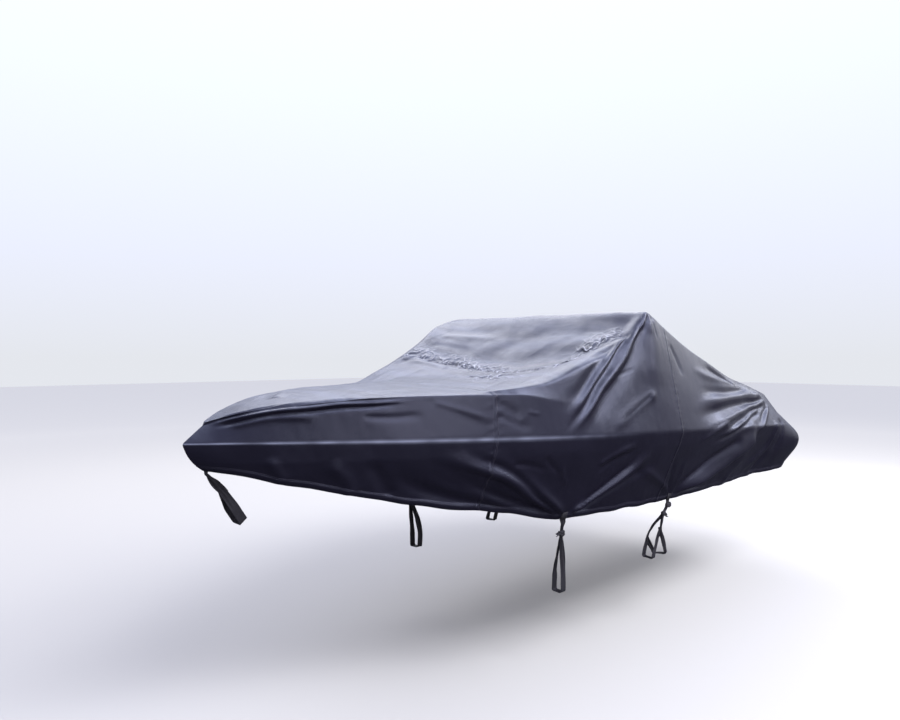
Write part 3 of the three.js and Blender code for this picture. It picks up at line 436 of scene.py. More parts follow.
def grid_normals(points):
    """Outward unit normals of a grid of points, from its differences both ways."""
    across = np.gradient(points, axis=1)
    along = np.gradient(points, axis=0)
    normal = np.cross(along, across)
    return normal / np.maximum(np.linalg.norm(normal, axis=-1, keepdims=True), 1e-12)


# ---------------------------------------------------------------- folds in the cloth
# Tension draws the cloth into folds between what holds it: the end of the support bar, the
# hard point at the stern, the straps and the rail.  Folds of the sides are placed by x and z.
#
# Columns of the tables: how far the fold's ridge stands out, or in where it is negative; its
# width at its two ends; how much wider one flank is than the other; the points of its path.

SIDE_RELIEF = 1.5              # the folds of the sides stand out this many times what theirs say

PORT_FOLDS = [
    # from the end of the support bar, down and forward
    (-.010, (.012, .036), .3, [(.1, -.07), (.255, -.175), (.37, -.25), (.48, -.33), (.61, -.445),
     (.74, -.54)]),
    (.006, (.008, .016), 0, [(.12, -.08), (.225, -.165), (.335, -.249), (.45, -.345), (.58, -.46),
     (.7, -.57)]),
    (-.009, (.009, .022), 0, [(.05, -.055), (.195, -.166), (.295, -.247), (.39, -.335), (.52, -.45),
     (.66, -.58), (.73, -.64)]),
    (.012, (.017, .032), -.3, [(.02, -.02), (.1, -.085), (.165, -.166), (.225, -.242), (.335, -.33),
     (.45, -.42), (.6, -.56), (.7, -.65)]),
    (-.0085, (.022, .048), -.55, [(0, -.04), (.07, -.118), (.122, -.172), (.172, -.24), (.258, -.326),
     (.382, -.42), (.525, -.53), (.67, -.66)]),
    (.006, (.07, .13), 0, [(-.02, -.03), (-.04, -.12), (-.034, -.22), (-.001, -.44)]),
    (.006, (.006, .008), 0, [(.01, -.015), (.045, -.06), (.09, -.115)]),
    (-.006, (.006, .008), 0, [(0, -.02), (.022, -.07), (.05, -.13)]),
    (.004, (.007, .012), 0, [(-.012, -.02), (-.008, -.07), (0, -.14)]),
    (-.003, (.006, .01), 0, [(-.03, -.03), (-.05, -.09), (-.07, -.17)]),
    (-.002, (.004, .004), 0, [(.37, -.362), (.249, -.342), (.13, -.318)]),
    (.005, (.022, .034), .3, [(0, -.452), (.093, -.496), (.25, -.565), (.42, -.635)]),
    (-.004, (.016, .026), 0, [(.04, -.465), (.2, -.54), (.36, -.61)]),
    (.0016, (.007, .009), 0, [(.925, -.512), (.896, -.522), (.86, -.527)]),
    # along the foredeck rail and at the fore seam
    (-.006, (.005, .007), 0, [(2.175, -.533), (2.101, -.506), (2.034, -.485), (1.923, -.464),
     (1.8, -.452), (1.6, -.443), (1.44, -.44)]),
    (.007, (.005, .008), 0, [(2.175, -.541), (2.1, -.516), (2, -.493), (1.86, -.471), (1.74, -.461),
     (1.6, -.455), (1.44, -.45)]),
    (-.007, (.006, .009), 0, [(2.17, -.552), (2.083, -.527), (1.998, -.506), (1.859, -.486),
     (1.746, -.478), (1.628, -.472), (1.47, -.462)]),
    (.004, (.01, .018), 0, [(2.12, -.551), (2.022, -.524), (1.923, -.511), (1.8, -.508)]),
    (-.003, (.012, .018), 0, [(1.66, -.514), (1.6, -.518), (1.52, -.521), (1.4, -.515)]),
    (-.0011, (.016, .028), 0, [(1.42, -.445), (1.302, -.487), (1.212, -.53), (1.09, -.585)]),
    (.003, (.014, .02), .3, [(1.38, -.452), (1.222, -.505), (1.09, -.55)]),
    (-.003, (.018, .03), 0, [(1.1, -.455), (1.03, -.5), (.94, -.55)]),
    (-.0025, (.014, .024), 0, [(1.09, -.52), (1, -.565), (.9, -.6)]),
    # from the hard point at the stern, forward and down
    (.015, (.03, .058), -.3, [(-1.66, -.548), (-1.5, -.532), (-1.159, -.526), (-.747, -.522),
     (-.42, -.55)]),
    (-.011, (.014, .036), 0, [(-1.64, -.578), (-1.4, -.572), (-1.091, -.569), (-.686, -.586),
     (-.34, -.615)]),
    (.012, (.016, .042), -.3, [(-1.68, -.572), (-1.4, -.59), (-1.133, -.612), (-.804, -.646),
     (-.42, -.69)]),
    (-.009, (.012, .028), 0, [(-1.6, -.6), (-1.2, -.64), (-.9, -.685), (-.6, -.72)]),
    (.010, (.008, .018), 0, [(-1.45, -.615), (-1.188, -.653), (-.988, -.692), (-.846, -.72),
     (-.643, -.752)]),
    (-.007, (.01, .02), 0, [(-1.42, -.64), (-1.12, -.69), (-.85, -.745), (-.55, -.79)]),
    (.006, (.012, .018), 0, [(-.8, -.667), (-.69, -.687), (-.426, -.761)]),
    (.008, (.009, .02), 0, [(-1.69, -.6), (-1.56, -.655), (-1.446, -.695), (-1.314, -.742),
     (-1.2, -.79)]),
    (-.006, (.009, .014), 0, [(-1.66, -.615), (-1.5, -.655), (-1.33, -.715)]),
    (.030, (.066, .026), .3, [(-1.3, -.79), (-1.08, -.865), (-.83, -.955), (-.55, -1.035),
     (-.34, -1.09)]),
    (-.012, (.03, .012), 0, [(-1.12, -.93), (-.85, -1.015), (-.55, -1.075), (-.36, -1.1)]),
    (-.010, (.028, .012), 0, [(-1.05, -.79), (-.75, -.88), (-.48, -.99), (-.34, -1.06)]),
    (.010, (.02, .03), 0, [(-1.66, -.7), (-1.62, -.8), (-1.6, -.881), (-1.462, -.973), (-1.308, -1.048)]),
    (-.007, (.02, .035), 0, [(-1.78, -.7), (-1.76, -.82), (-1.7, -.95)]),
    (.009, (.022, .05), 0, [(-1.449, -.506), (-1.073, -.472), (-.728, -.435)]),
    (-.009, (.016, .035), 0, [(-1.35, -.49), (-.95, -.492), (-.52, -.466)]),
    (.006, (.016, .03), 0, [(-1.238, -.445), (-.865, -.404), (-.487, -.328)]),
    (-.007, (.01, .022), 0, [(-1.16, -.45), (-.988, -.39), (-.719, -.318)]),
    (-.004, (.01, .02), 0, [(-.24, -.18), (-.3, -.27), (-.36, -.38)]),
    # from the fore strap, up and out
    (.014, (.014, .04), .3, [(.575, -1.075), (.66, -1.01), (.905, -.855), (1.207, -.7)]),
    (.013, (.014, .034), .3, [(.6, -1.073), (.8, -.955), (1.023, -.82), (1.363, -.695)]),
    (-.014, (.01, .026), 0, [(.59, -1.07), (.76, -.955), (.98, -.8), (1.24, -.69)]),
    (-.012, (.014, .036), 0, [(.62, -1.07), (.85, -.985), (1.1, -.885), (1.33, -.77), (1.45, -.69)]),
    (.009, (.014, .03), 0, [(.66, -1.062), (.95, -.968), (1.274, -.8), (1.47, -.7)]),
    (-.008, (.016, .034), 0, [(.74, -1.03), (1.05, -.96), (1.36, -.86), (1.56, -.75)]),
    (.016, (.012, .03), -.3, [(.555, -1.065), (.44, -1.005), (.292, -.926), (.027, -.765)]),
    (-.009, (.012, .032), 0, [(.545, -1.078), (.36, -1), (.15, -.905), (-.06, -.84)]),
    (-.008, (.008, .02), 0, [(.5, -1.02), (.34, -.925), (.16, -.8)]),
    (.006, (.01, .016), 0, [(.46, -.81), (.34, -.755), (.2, -.715)]),
    (-.004, (.01, .014), 0, [(.44, -.84), (.33, -.79), (.18, -.745)]),
    (-.004, (.008, .012), 0, [(.7, -.83), (.76, -.785), (.82, -.73)]),
    (.003, (.008, .012), 0, [(.63, -.9), (.67, -.84), (.71, -.78)]),
    (-.004, (.01, .014), 0, [(.98, -.76), (.88, -.775), (.77, -.81)]),
    # from the aft strap
    (.006, (.01, .026), 0, [(-.33, -1.09), (-.25, -1.02), (-.05, -.92), (.14, -.84)]),
    (-.006, (.008, .018), 0, [(-.32, -1.085), (-.27, -.97), (-.21, -.82)]),
    (.005, (.008, .018), 0, [(-.34, -1.085), (-.36, -.97), (-.38, -.85)]),
    # the free skirt towards the bow and stern
    (.007, (.03, .03), 0, [(1.66, -.86), (1.7, -.79), (1.78, -.7)]),
    (-.006, (.026, .028), 0, [(1.5, -.88), (1.56, -.8), (1.63, -.7)]),
    (.005, (.022, .022), 0, [(1.92, -.79), (1.96, -.73), (2, -.67)]),
    (.007, (.03, .04), 0, [(-1.05, -1.11), (-1.12, -1.02), (-1.3, -.9)]),
    (-.007, (.026, .03), 0, [(-1.5, -1.1), (-1.56, -1.02), (-1.66, -.92)]),
]
STARBOARD_FOLDS = [
    (.016, (.016, .044), .3, [(.02, -.05), (.2, -.19), (.42, -.38), (.66, -.6)]),
    (-.013, (.012, .03), 0, [(-.01, -.06), (.15, -.23), (.32, -.42), (.5, -.6)]),
    (-.009, (.01, .024), 0, [(.06, -.06), (.3, -.2), (.52, -.32), (.7, -.44)]),
    (.007, (.009, .02), 0, [(.14, -.1), (.34, -.26), (.58, -.45)]),
    (.010, (.04, .09), 0, [(-.03, -.06), (-.02, -.22), (.03, -.42)]),
    (.016, (.014, .042), -.3, [(-1.66, -.555), (-1.2, -.575), (-.8, -.6), (-.48, -.64)]),
    (-.013, (.012, .034), 0, [(-1.62, -.585), (-1.2, -.625), (-.8, -.67), (-.48, -.72)]),
    (.011, (.012, .024), 0, [(-1.6, -.6), (-1.2, -.665), (-.8, -.735), (-.55, -.78)]),
    (.020, (.034, .018), .3, [(-1.3, -.77), (-1, -.865), (-.65, -.985), (-.36, -1.086)]),
    (-.012, (.034, .014), 0, [(-1.15, -.9), (-.85, -.985), (-.55, -1.06), (-.36, -1.098)]),
    (.008, (.02, .045), 0, [(-1.6, -.49), (-1.1, -.47), (-.7, -.42)]),
    (.009, (.02, .035), 0, [(-1.64, -.66), (-1.6, -.8), (-1.5, -.93)]),
    (.014, (.014, .038), .3, [(.575, -1.075), (.7, -.985), (.92, -.84), (1.16, -.7)]),
    (.011, (.014, .032), 0, [(.61, -1.073), (.86, -.955), (1.12, -.84), (1.4, -.71)]),
    (-.012, (.01, .026), 0, [(.6, -1.07), (.8, -.94), (1.02, -.81), (1.25, -.7)]),
    (.014, (.012, .032), -.3, [(.555, -1.065), (.4, -.98), (.24, -.89), (.05, -.79)]),
    (-.009, (.012, .03), 0, [(.545, -1.078), (.34, -.99), (.12, -.9)]),
    (.010, (.01, .03), 0, [(-.33, -1.09), (-.2, -1), (.02, -.88)]),
    (-.006, (.008, .02), 0, [(-.33, -1.085), (-.3, -.97), (-.26, -.84)]),
    (-.009, (.007, .014), 0, [(2.12, -.528), (1.95, -.49), (1.75, -.47), (1.5, -.452)]),
    (-.005, (.01, .018), 0, [(1.38, -.452), (1.24, -.51), (1.1, -.57)]),
    (-.005, (.01, .016), 0, [(1.08, -.47), (1, -.525), (.92, -.57)]),
    (.007, (.028, .03), 0, [(1.66, -.86), (1.72, -.78), (1.8, -.7)]),
    (.008, (.03, .04), 0, [(-1.05, -1.11), (-1.14, -1), (-1.32, -.88)]),
]
# Folds of the top, placed by x and y; the first follows the windscreen's foot.
WINDSCREEN_FOOT = [(.60, -.68), (.525, -.60), (.525, -.467), (.495, -.374), (.485, -.229),
                   (.485, -.084), (.499, .072), (.545, .235), (.535, .38), (.452, .50),
                   (.315, .54), (.244, .583), (.20, .64)]
TOP_FOLDS = [
    (-.008, (.014, .013), 0, WINDSCREEN_FOOT),
    (.006, (.022, .026), 0, [(.62, -.6), (.57, -.4), (.545, -.15), (.55, .05), (.6, .22), (.6, .38)]),
    (.008, (.018, .022), 0, [(.74, .08), (.68, .2), (.62, .33)]),
    (.006, (.014, .018), 0, [(.82, .16), (.75, .28), (.7, .38)]),
    (-.006, (.012, .012), 0, [(.79, .1), (.72, .22), (.67, .34)]),
    (.005, (.012, .014), 0, [(.9, .24), (.9, .33), (.86, .4)]),
    (.002, (.04, .05), 0, [(.36, -.3), (.22, -.06), (.1, .18), (.03, .44)]),
    (-.0015, (.04, .05), 0, [(.33, -.14), (.2, .08), (.1, .32)]),
    (.0015, (.03, .03), 0, [(.34, .1), (.22, .28), (.1, .48)]),
    (-.0035, (.03, .04), 0, [(.24, -.66), (.19, -.42), (.12, -.12)]),
    (.005, (.024, .03), 0, [(.3, -.62), (.24, -.4), (.2, -.12)]),
    (-.004, (.02, .03), 0, [(.4, -.6), (.36, -.42), (.34, -.2)]),
    (.006, (.03, .03), 0, [(1.04, -.46), (.9, -.5), (.72, -.54)]),
    (-.006, (.03, .04), 0, [(.98, -.36), (.8, -.38), (.62, -.4)]),
    (.009, (.026, .03), 0, [(1.9, .06), (1.82, -.02), (1.76, -.1)]),
    (-.004, (.018, .02), 0, [(1.96, -.02), (1.88, -.08), (1.82, -.14)]),
    (.005, (.03, .05), 0, [(1.65, .27), (1.38, .28), (1.1, .22)]),
    (-.005, (.03, .05), 0, [(1.6, -.2), (1.35, -.3), (1.05, -.36)]),
    (-.005, (.02, .02), 0, [(1.04, .5), (.9, .46), (.78, .42)]),
    (.012, (.05, .08), 0, [(-.1, .54), (-.45, .44), (-.95, .46), (-1.5, .55)]),
    (.012, (.05, .08), 0, [(-.08, -.48), (-.5, -.4), (-1, -.42), (-1.5, -.52)]),
    (-.011, (.05, .08), 0, [(-.12, .26), (-.6, .2), (-1.2, .22), (-1.65, .34)]),
    (-.01, (.05, .08), 0, [(-.1, -.14), (-.6, -.1), (-1.2, -.14), (-1.65, -.24)]),
    (.008, (.04, .07), 0, [(-.14, .06), (-.6, .04), (-1.2, .04)]),
    (-.006, (.04, .04), 0, [(-1.3, .6), (-1.34, .3), (-1.32, 0), (-1.35, -.3), (-1.3, -.58)]),
    (.006, (.03, .03), 0, [(-1.68, .6), (-1.72, .25), (-1.7, -.15), (-1.68, -.58)]),
]
# Folds of the transom, placed by y and z.
TRANSOM_FOLDS = [
    (.012, (.03, .05), 0, [(.6, -.56), (.52, -.8), (.46, -1.09)]),
    (-.008, (.02, .03), 0, [(.66, -.58), (.62, -.78), (.6, -1.05)]),
    (-.011, (.03, .05), 0, [(.42, -.6), (.36, -.82), (.3, -1.09)]),
    (.009, (.04, .05), 0, [(.16, -.56), (.1, -.8), (.12, -1.09)]),
    (-.009, (.04, .05), 0, [(-.1, -.56), (-.14, -.8), (-.1, -1.09)]),
    (.011, (.03, .05), 0, [(-.36, -.58), (-.32, -.84), (-.34, -1.09)]),
    (-.01, (.024, .04), 0, [(-.58, -.58), (-.54, -.8), (-.52, -1.06)]),
    (.004, (.02, .02), 0, [(-.6, -.62), (-.3, -.66), (.1, -.65), (.58, -.62)]),
]


def run_along(path):
    """Distance run along a path at each of its points."""
    return np.concatenate([[0], np.cumsum(np.linalg.norm(np.diff(path, axis=0), axis=1))])


def smooth_path(path, at):
    """Places at distances run along a path, on smooth curves through its points."""
    along = run_along(path)
    return np.stack([curve_through(along, path[:, k])(at) for k in range(path.shape[1])], -1)


def finer(path, cuts=5):
    """The path with points added on smooth curves between its own."""
    path = np.array(path, float)
    return smooth_path(path, np.linspace(0, run_along(path)[-1], cuts * (len(path) - 1) + 1))


def beside(a, b, path, reach):
    """Distance from each point to a path, how far along it, and on which side, within reach."""
    gap, run, side = np.full(a.shape, 9.0), np.zeros(a.shape), np.ones(a.shape)
    near = ((a > path[:, 0].min() - reach) & (a < path[:, 0].max() + reach)
            & (b > path[:, 1].min() - reach) & (b < path[:, 1].max() + reach))
    if not near.any():
        return gap, run, side
    step = np.diff(path, axis=0)
    length = np.linalg.norm(step, axis=1)
    way = step / length[:, None]
    offset = np.stack([a[near], b[near]], -1)[:, None] - path[None, :-1]
    along = np.clip((offset * way).sum(-1), 0, length)
    miss = offset - way * along[..., None]
    every = np.linalg.norm(miss, axis=-1)
    best = every.argmin(1)
    row = np.arange(len(best))
    gap[near] = every[row, best]
    run[near] = run_along(path)[best] + along[row, best]
    side[near] = np.sign(way[best, 0] * miss[row, best, 1] - way[best, 1] * miss[row, best, 0])
    return gap, run, side


FOLD_STARTS, FOLD_ENDS = (0, 0.12), (1, 0.7)       # shares of its length
RIDGE_POWER, VALLEY_POWER = 1.9, 2.1


def one_fold(a, b, out, wide, skew, path):
    """Ridge along a path, sharp at its crest: its height is the exponential of minus a power of
    the distance over the width, and starts and ends in a smooth step."""
    path = finer(path)
    gap, run, side = beside(a, b, path, 3 * max(wide) * (1 + abs(skew)))
    share = run / run_along(path)[-1]
    width = (wide[0] + (wide[1] - wide[0]) * share) * (1 + skew * side)
    sharp = RIDGE_POWER if out > 0 else VALLEY_POWER
    return out * ramp(share, *FOLD_STARTS) * ramp(share, *FOLD_ENDS) * np.exp(-(gap / width) ** sharp)


def all_folds(folds, a, b):
    """Sum of a table's folds at the places a, b."""
    return sum(one_fold(a, b, *fold) for fold in folds)


HEM_LIFT = 0.0011              # the turned hem is one cloth thicker
SEAM_LIFT = 0.0010             # and so is a lapped seam
SEAM_LAP = 0.013               # width of the lap
SEAM_PUCKER = {"out": 0.0005, "reach": 0.045, "pitch": 0.043}
STRAY = 0.003                  # how far the folds wander from their paths
# Unevenness of the cloth all over, and more of it on the top: height and size of each wave.
WAVES_ALL = {"out": 0.0012, "size": 0.42}, {"out": 0.0002, "size": 0.09}
WAVES_TOP = {"out": 0.0020, "size": 0.34}, {"out": 0.0008, "size": 0.12}


def drape(shares):
    """Points and outward normals of the folded cloth at the given shares of the length: the bare
    sections moved out by the sum of the folds, the waves, the gathers, the hem and the seams."""
    points = bare_sections(shares)
    normals = grid_normals(points)
    x, y, z = points[..., 0], points[..., 1], points[..., 2]
    on_top = ramp(FROM_HEM, SIDE_COLUMNS + 1, SIDE_COLUMNS + 7)[None]
    port = (np.arange(COLUMNS) < HALF_COLUMNS)[None]
    stray = STRAY * ripple(x, z + y, 0.22, 3)
    side_height = SIDE_RELIEF * np.where(port, all_folds(PORT_FOLDS, x + stray, z + 0.5 * stray),
                                         all_folds(STARBOARD_FOLDS, x + stray, z + 0.5 * stray))
    top_height = all_folds(TOP_FOLDS, x + stray, y + stray)
    height = side_height * (1 - on_top) + top_height * on_top
    broad, fine = WAVES_ALL
    height += broad["out"] * ripple(x, z * 1.6 + y, broad["size"], 5) * ramp(FROM_HEM, 0, 8)[None]
    height += fine["out"] * ripple(x * 1.3, z + y, fine["size"], 8)
    for seed, wave in zip((12, 13), WAVES_TOP):
        height += on_top * wave["out"] * ripple(x, y, wave["size"], seed)
    height += gathers(points) * on_top
    height += scallops(points, shares)
    turned = (FROM_HEM >= 1) & (FROM_HEM <= 2)
    height += HEM_LIFT * turned[None]
    gunwale_x = BOW_TIP - COVER_LENGTH * shares[:, None]
    for seam in (FORE_SEAM, AFT_SEAM):
        lapped = (gunwale_x <= seam + 1e-9) & (gunwale_x > seam - SEAM_LAP)
        height += SEAM_LIFT * lapped
        near_seam = np.exp(-((gunwale_x - seam) / SEAM_PUCKER["reach"]) ** 2)
        phase = 2 * np.pi * (z - y) / SEAM_PUCKER["pitch"] + 2 * ripple(y, z, 0.2, 11)
        height += SEAM_PUCKER["out"] * near_seam * np.sin(phase)
    return points + normals * height[..., None], normals


# The windscreen's foot draws the top into short creases: fine ones along it, and broad ones ahead
# of it, forward of from_x.
GATHERS = [{"ahead": 0.0, "pitch": 0.078, "reach": 0.034, "out": 0.0055, "seed": 21, "from_x": -9},
           {"ahead": 0.07, "pitch": 0.170, "reach": 0.055, "out": 0.006, "seed": 27, "from_x": 0.4}]


def gathers(points):
    """Creases across the windscreen's foot: uneven sine waves along it, in a bell curve beside it."""
    x, y = points[..., 0], points[..., 1]
    total = 0
    for row in GATHERS:
        gap, run, _ = beside(x - row["ahead"], y, finer(WINDSCREEN_FOOT, 4), 3 * row["reach"])
        phase = 2 * np.pi * (run + 0.6 * gap) / row["pitch"]
        wave = np.sin(phase + 2.2 * ripple(run, 0 * run, 0.3, row["seed"]))
        strength = 0.6 + 0.4 * ripple(run, 0 * run, 0.22, row["seed"] + 1)
        bell = np.exp(-(gap / row["reach"]) ** 2)
        crease = row["out"] * strength * bell * (wave + 0.5 * np.sin(1.6 * wave + 9 * run))
        total = total + crease * (x > row["from_x"])
    return total


SCALLOP = {"out": 0.0028, "size": 0.24, "columns": 14.0}    # height, length, reach in columns
FREE_HEM = [(0.75, 1.05), (-0.55, -0.85)]      # x over which the hem comes free of the straps


def scallops(points, shares):
    """The hem's free lengths hang in shallow waves that fade up the skirt in a bell curve."""
    x, z = points[..., 0], points[..., 2]
    free = ramp(x, *FREE_HEM[0]) + ramp(x, *FREE_HEM[1])
    fade = np.exp(-(FROM_HEM / SCALLOP["columns"]) ** 2)[None] * ramp(shares, *SPANS["scallops"])[:, None]
    return SCALLOP["out"] * free * fade * ripple(x, z * 0.1, SCALLOP["size"], 31)


def stations(x_from, x_to, cells, extra=()):
    """Shares of the length in even steps between two places on the gunwale, with extra ones."""
    x = np.concatenate([np.linspace(x_from, x_to, cells + 1), extra])
    return (BOW_TIP - np.unique(x)[::-1]) / COVER_LENGTH


# ---------------------------------------------------------------- the coated cloth
# Tightly woven polyester with a smooth waterproof coating: blue-black, half glossy, a little
# dusty where it faces up, with a fine plain weave that shows close to.  Light is painted on it too:
# a sky sheen on the upward faces, blue-tinted reflections, a highlight along the gunwale crease
# and glints on the crinkles' crests.

class Field:
    """A number that varies over a surface: a shader socket that adds and multiplies as one."""

    def __init__(self, finish, socket):
        self.finish, self.socket = finish, socket

    def _math(self, operation, first, second):
        """The operation on two fields or numbers, as a new field."""
        return self.finish.node("ShaderNodeMath", {"operation": operation}, {0: first, 1: second})

    def __add__(self, other):
        return self._math("ADD", self, other)

    __radd__ = __add__

    def __mul__(self, other):
        return self._math("MULTIPLY", self, other)

    __rmul__ = __mul__


class Finish:
    """A procedural material around one Principled shader."""

    def __init__(self, name, **constants):
        self.material = bpy.data.materials.new(name)
        self.material.use_nodes = True
        self.tree = self.material.node_tree
        self.shader = self.tree.nodes["Principled BSDF"]
        for socket, value in constants.items():
            self.shader.inputs[socket.replace("_", " ")].default_value = value

    def node(self, kind, settings=None, inputs=None, output=0):
        """A node of a kind: its settings are set first, then its sockets' values or links."""
        made = self.tree.nodes.new(kind)
        for key, value in (settings or {}).items():
            setattr(made, key, value)
        for key, value in (inputs or {}).items():
            self._feed(made.inputs[key], value)
        return Field(self, made.outputs[output])

    def _feed(self, socket, value):
        """Links a field to a socket, or sets the socket's value."""
        if isinstance(value, Field):
            self.tree.links.new(value.socket, socket)
        else:
            socket.default_value = value

    def mix(self, share, first, second):
        """Colour between two, by a share that varies."""
        return self.node("ShaderNodeMix", {"data_type": "RGBA"}, {0: share, 6: first, 7: second}, 2)

    def noise(self, place, **sockets):
        """Soft noise, or ridged noise where its Offset is given."""
        ridged = {"noise_type": "RIDGED_MULTIFRACTAL"} if "Offset" in sockets else None
        return self.node("ShaderNodeTexNoise", ridged, {"Vector": place, **sockets}, "Fac")

    def bands(self, place, along, pitch):
        """Sine bands across one axis, a pitch apart."""
        return self.node("ShaderNodeTexWave", {"wave_type": "BANDS", "bands_direction": along},
                         {"Vector": place, "Scale": WAVE_SCALE / pitch}, "Fac")

    def span(self, value, start, end):
        """Straight step of a value, 0 at start and 1 at end."""
        return self.node("ShaderNodeMapRange", {"clamp": True},
                         {"Value": value, "From Min": start, "From Max": end})

    def mark(self, name):
        """A number stored at the points of the mesh."""
        return self.node("ShaderNodeAttribute", {"attribute_name": name}, output="Fac")

    def math(self, operation, *values):
        """A Math node that has no operator of its own."""
        return self.node("ShaderNodeMath", {"operation": operation}, dict(enumerate(values)))

    def set(self, **sockets):
        """Feeds the shader's sockets by name."""
        for key, value in sockets.items():
            self._feed(self.shader.inputs[key.replace("_", " ")], value)


WAVE_SCALE = 0.31831           # at this scale a Wave texture's bands lie about 1 m apart
WEAVE_PITCH = 0.0011
STITCH_LONG = 0.0048           # lockstitch along the hem and the lapped seams
STITCH_IN = 0.0040             # row's distance from the fold of the hem or the edge of the lap
STITCH_HALF = 0.0006           # half the width of the row
CLOTH_TONES = (0.0030, 0.0024, 0.0055, 1), (0.0060, 0.0050, 0.0105, 1)
# The first tone is a dusty film mixed with a painted sky sheen on the upward faces; the second a painted
# highlight along the gunwale crease.
DUST_AND_SHEEN_TONE, PAINTED_HIGHLIGHT_TONE = (0.28, 0.30, 0.37, 1), (0.17, 0.18, 0.24, 1)
# The first tone is a painted glint on the crinkles' crests; the second the darker thread.
PAINTED_GLINT_TONE, THREAD_TONE = (0.50, 0.50, 0.54, 1), (0.030, 0.028, 0.036, 1)
FACING_SPAN = (0.34, 0.85)     # how far the cloth faces up, from bare to dusty with a painted sky sheen
STREAK_SPAN = (0.42, 0.68)     # noise between clear cloth and a dusty streak
PAINTED_GLINT_SPAN = (1.15, 1.75)      # ridged noise between plain cloth and a crinkle's crest painted pale as a glint
DASH = (0.45, 0.33)            # middle and half length of a stitch, as shares of its pitch
# Heights of the bump in metres; a field scales each.
BUMP = {"weave": 0.00012, "crumple": 0.0005, "crumple_top": 0.0012, "grain": 0.0004, "streaks": 0.0030,
        "crinkle": 0.040, "stitch": 0.0005}


def cloth_finish():
    """Dark coated cloth: dusty with a painted sky sheen where it faces up, a painted highlight along the
    gunwale and painted glints on the crinkles' crests by mark, stitched rows.
    """
    # The reflections are tinted blue, a painted sky colour.
    finish = Finish("coated_cloth", Specular_IOR_Level=0.36, Specular_Tint=(0.71, 0.75, 1.0, 1))
    flat = finish.node("ShaderNodeTexCoord", output="UV")
    place = finish.node("ShaderNodeTexCoord", output="Object")
    warp = finish.bands(flat, "X", WEAVE_PITCH)
    weft = finish.bands(flat, "Y", WEAVE_PITCH)
    patches = finish.noise(place, Scale=2.6, Detail=4.0)
    crumple = finish.noise(place, Scale=7.0, Detail=3.0, Roughness=0.55, Offset=1.0)
    grain = finish.noise(place, Scale=55.0, Detail=2.0)
    stretched = finish.node("ShaderNodeMapping", None, {"Vector": place, "Scale": (9.0, 1.1, 6.0)}, 0)
    streaks = finish.noise(stretched, Scale=1.6, Detail=5.0)
    creased = finish.noise(place, Scale=19.0, Detail=3.0, Roughness=0.6, Offset=1.0)
    crinkle = finish.mark("crinkle")
    normal = finish.node("ShaderNodeNewGeometry", output="Normal")
    facing = finish.span(finish.node("ShaderNodeSeparateXYZ", None, {0: normal}, "Z"), *FACING_SPAN)
    # Upward faces are painted paler: a dusty film, and a painted sky sheen as well.
    dust_and_sheen = facing * (0.30 + 0.70 * finish.span(streaks, *STREAK_SPAN))
    crest = finish.span(creased, *PAINTED_GLINT_SPAN)
    row = finish.math("COMPARE", finish.mark("sewn"), STITCH_IN, STITCH_HALF)
    dash = finish.math("FRACT", finish.mark("run") * (1 / STITCH_LONG))
    stitches = row * finish.math("COMPARE", dash, *DASH)
    colour = finish.mix(patches, *CLOTH_TONES)
    # Painted sky sheen, mixed with a dusty film, on the upward faces.
    colour = finish.mix(dust_and_sheen * 0.22, colour, DUST_AND_SHEEN_TONE)
    # Painted highlight: the gunwale crease is painted pale where it would catch the light.
    colour = finish.mix(finish.mark("painted_gunwale_highlight") * 0.7, colour, PAINTED_HIGHLIGHT_TONE)
    # Painted glints: the crinkles' crests are painted pale as if catching the light.
    colour = finish.mix(crest * crinkle * 0.75, colour, PAINTED_GLINT_TONE)
    colour = finish.mix(stitches * 0.8, colour, THREAD_TONE)
    height = (warp + weft) * BUMP["weave"] + crumple * (BUMP["crumple"] + BUMP["crumple_top"] * facing)
    height = height + grain * BUMP["grain"] + streaks * facing * BUMP["streaks"]
    height = height + creased * crinkle * BUMP["crinkle"] + stitches * BUMP["stitch"]
    bump = finish.node("ShaderNodeBump", None, {"Strength": 0.5, "Distance": 1.0, "Height": height})
    finish.set(Base_Color=colour, Roughness=0.31 + 0.08 * patches + 0.10 * dust_and_sheen, Normal=bump)
    return finish.material


cloth_material = cloth_finish()
CLOTH_THICK = 0.0009


def grid_numbers(points, first=0):
    """Numbers of a grid's points, counted on from first, in the grid's own shape."""
    return first + np.arange(points[..., 0].size).reshape(points.shape[:2])


def grid_quads(numbers):
    """Quads between neighbouring rows and columns of a grid of point numbers, facing out."""
    corners = [numbers[:-1, :-1], numbers[1:, :-1], numbers[1:, 1:], numbers[:-1, 1:]]
    return np.stack(corners, -1).reshape(-1, 4)


def cloth_piece(name, points, quads, uv, thick, material, node, marks=None):
    """Mesh of a sheet with a UV map in metres, given its thickness inwards, riding on the frame."""
    used, quads = np.unique(quads, return_inverse=True)
    quads = quads.reshape(-1, 4)
    mesh = bpy.data.meshes.new(name)
    mesh.from_pydata(points.reshape(-1, 3)[used], [], quads)
    layer = mesh.uv_layers.new(name="flat")
    layer.data.foreach_set("uv", uv.reshape(-1, 2)[used][quads.ravel()].astype(np.float32).ravel())
    mesh.polygons.foreach_set("use_smooth", np.ones(len(quads), bool))
    for mark, values in (marks or {}).items():
        layer = mesh.attributes.new(mark, "FLOAT", "POINT")
        layer.data.foreach_set("value", values.ravel()[used].astype(np.float32))
    mesh.materials.append(material)
    piece = bpy.data.objects.new(name, mesh)
    scene.collection.objects.link(piece)
    solid = piece.modifiers.new("thickness", "SOLIDIFY")
    solid.thickness = thick
    solid.offset = -1
    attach(piece, "root")
    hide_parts(node)
    return piece


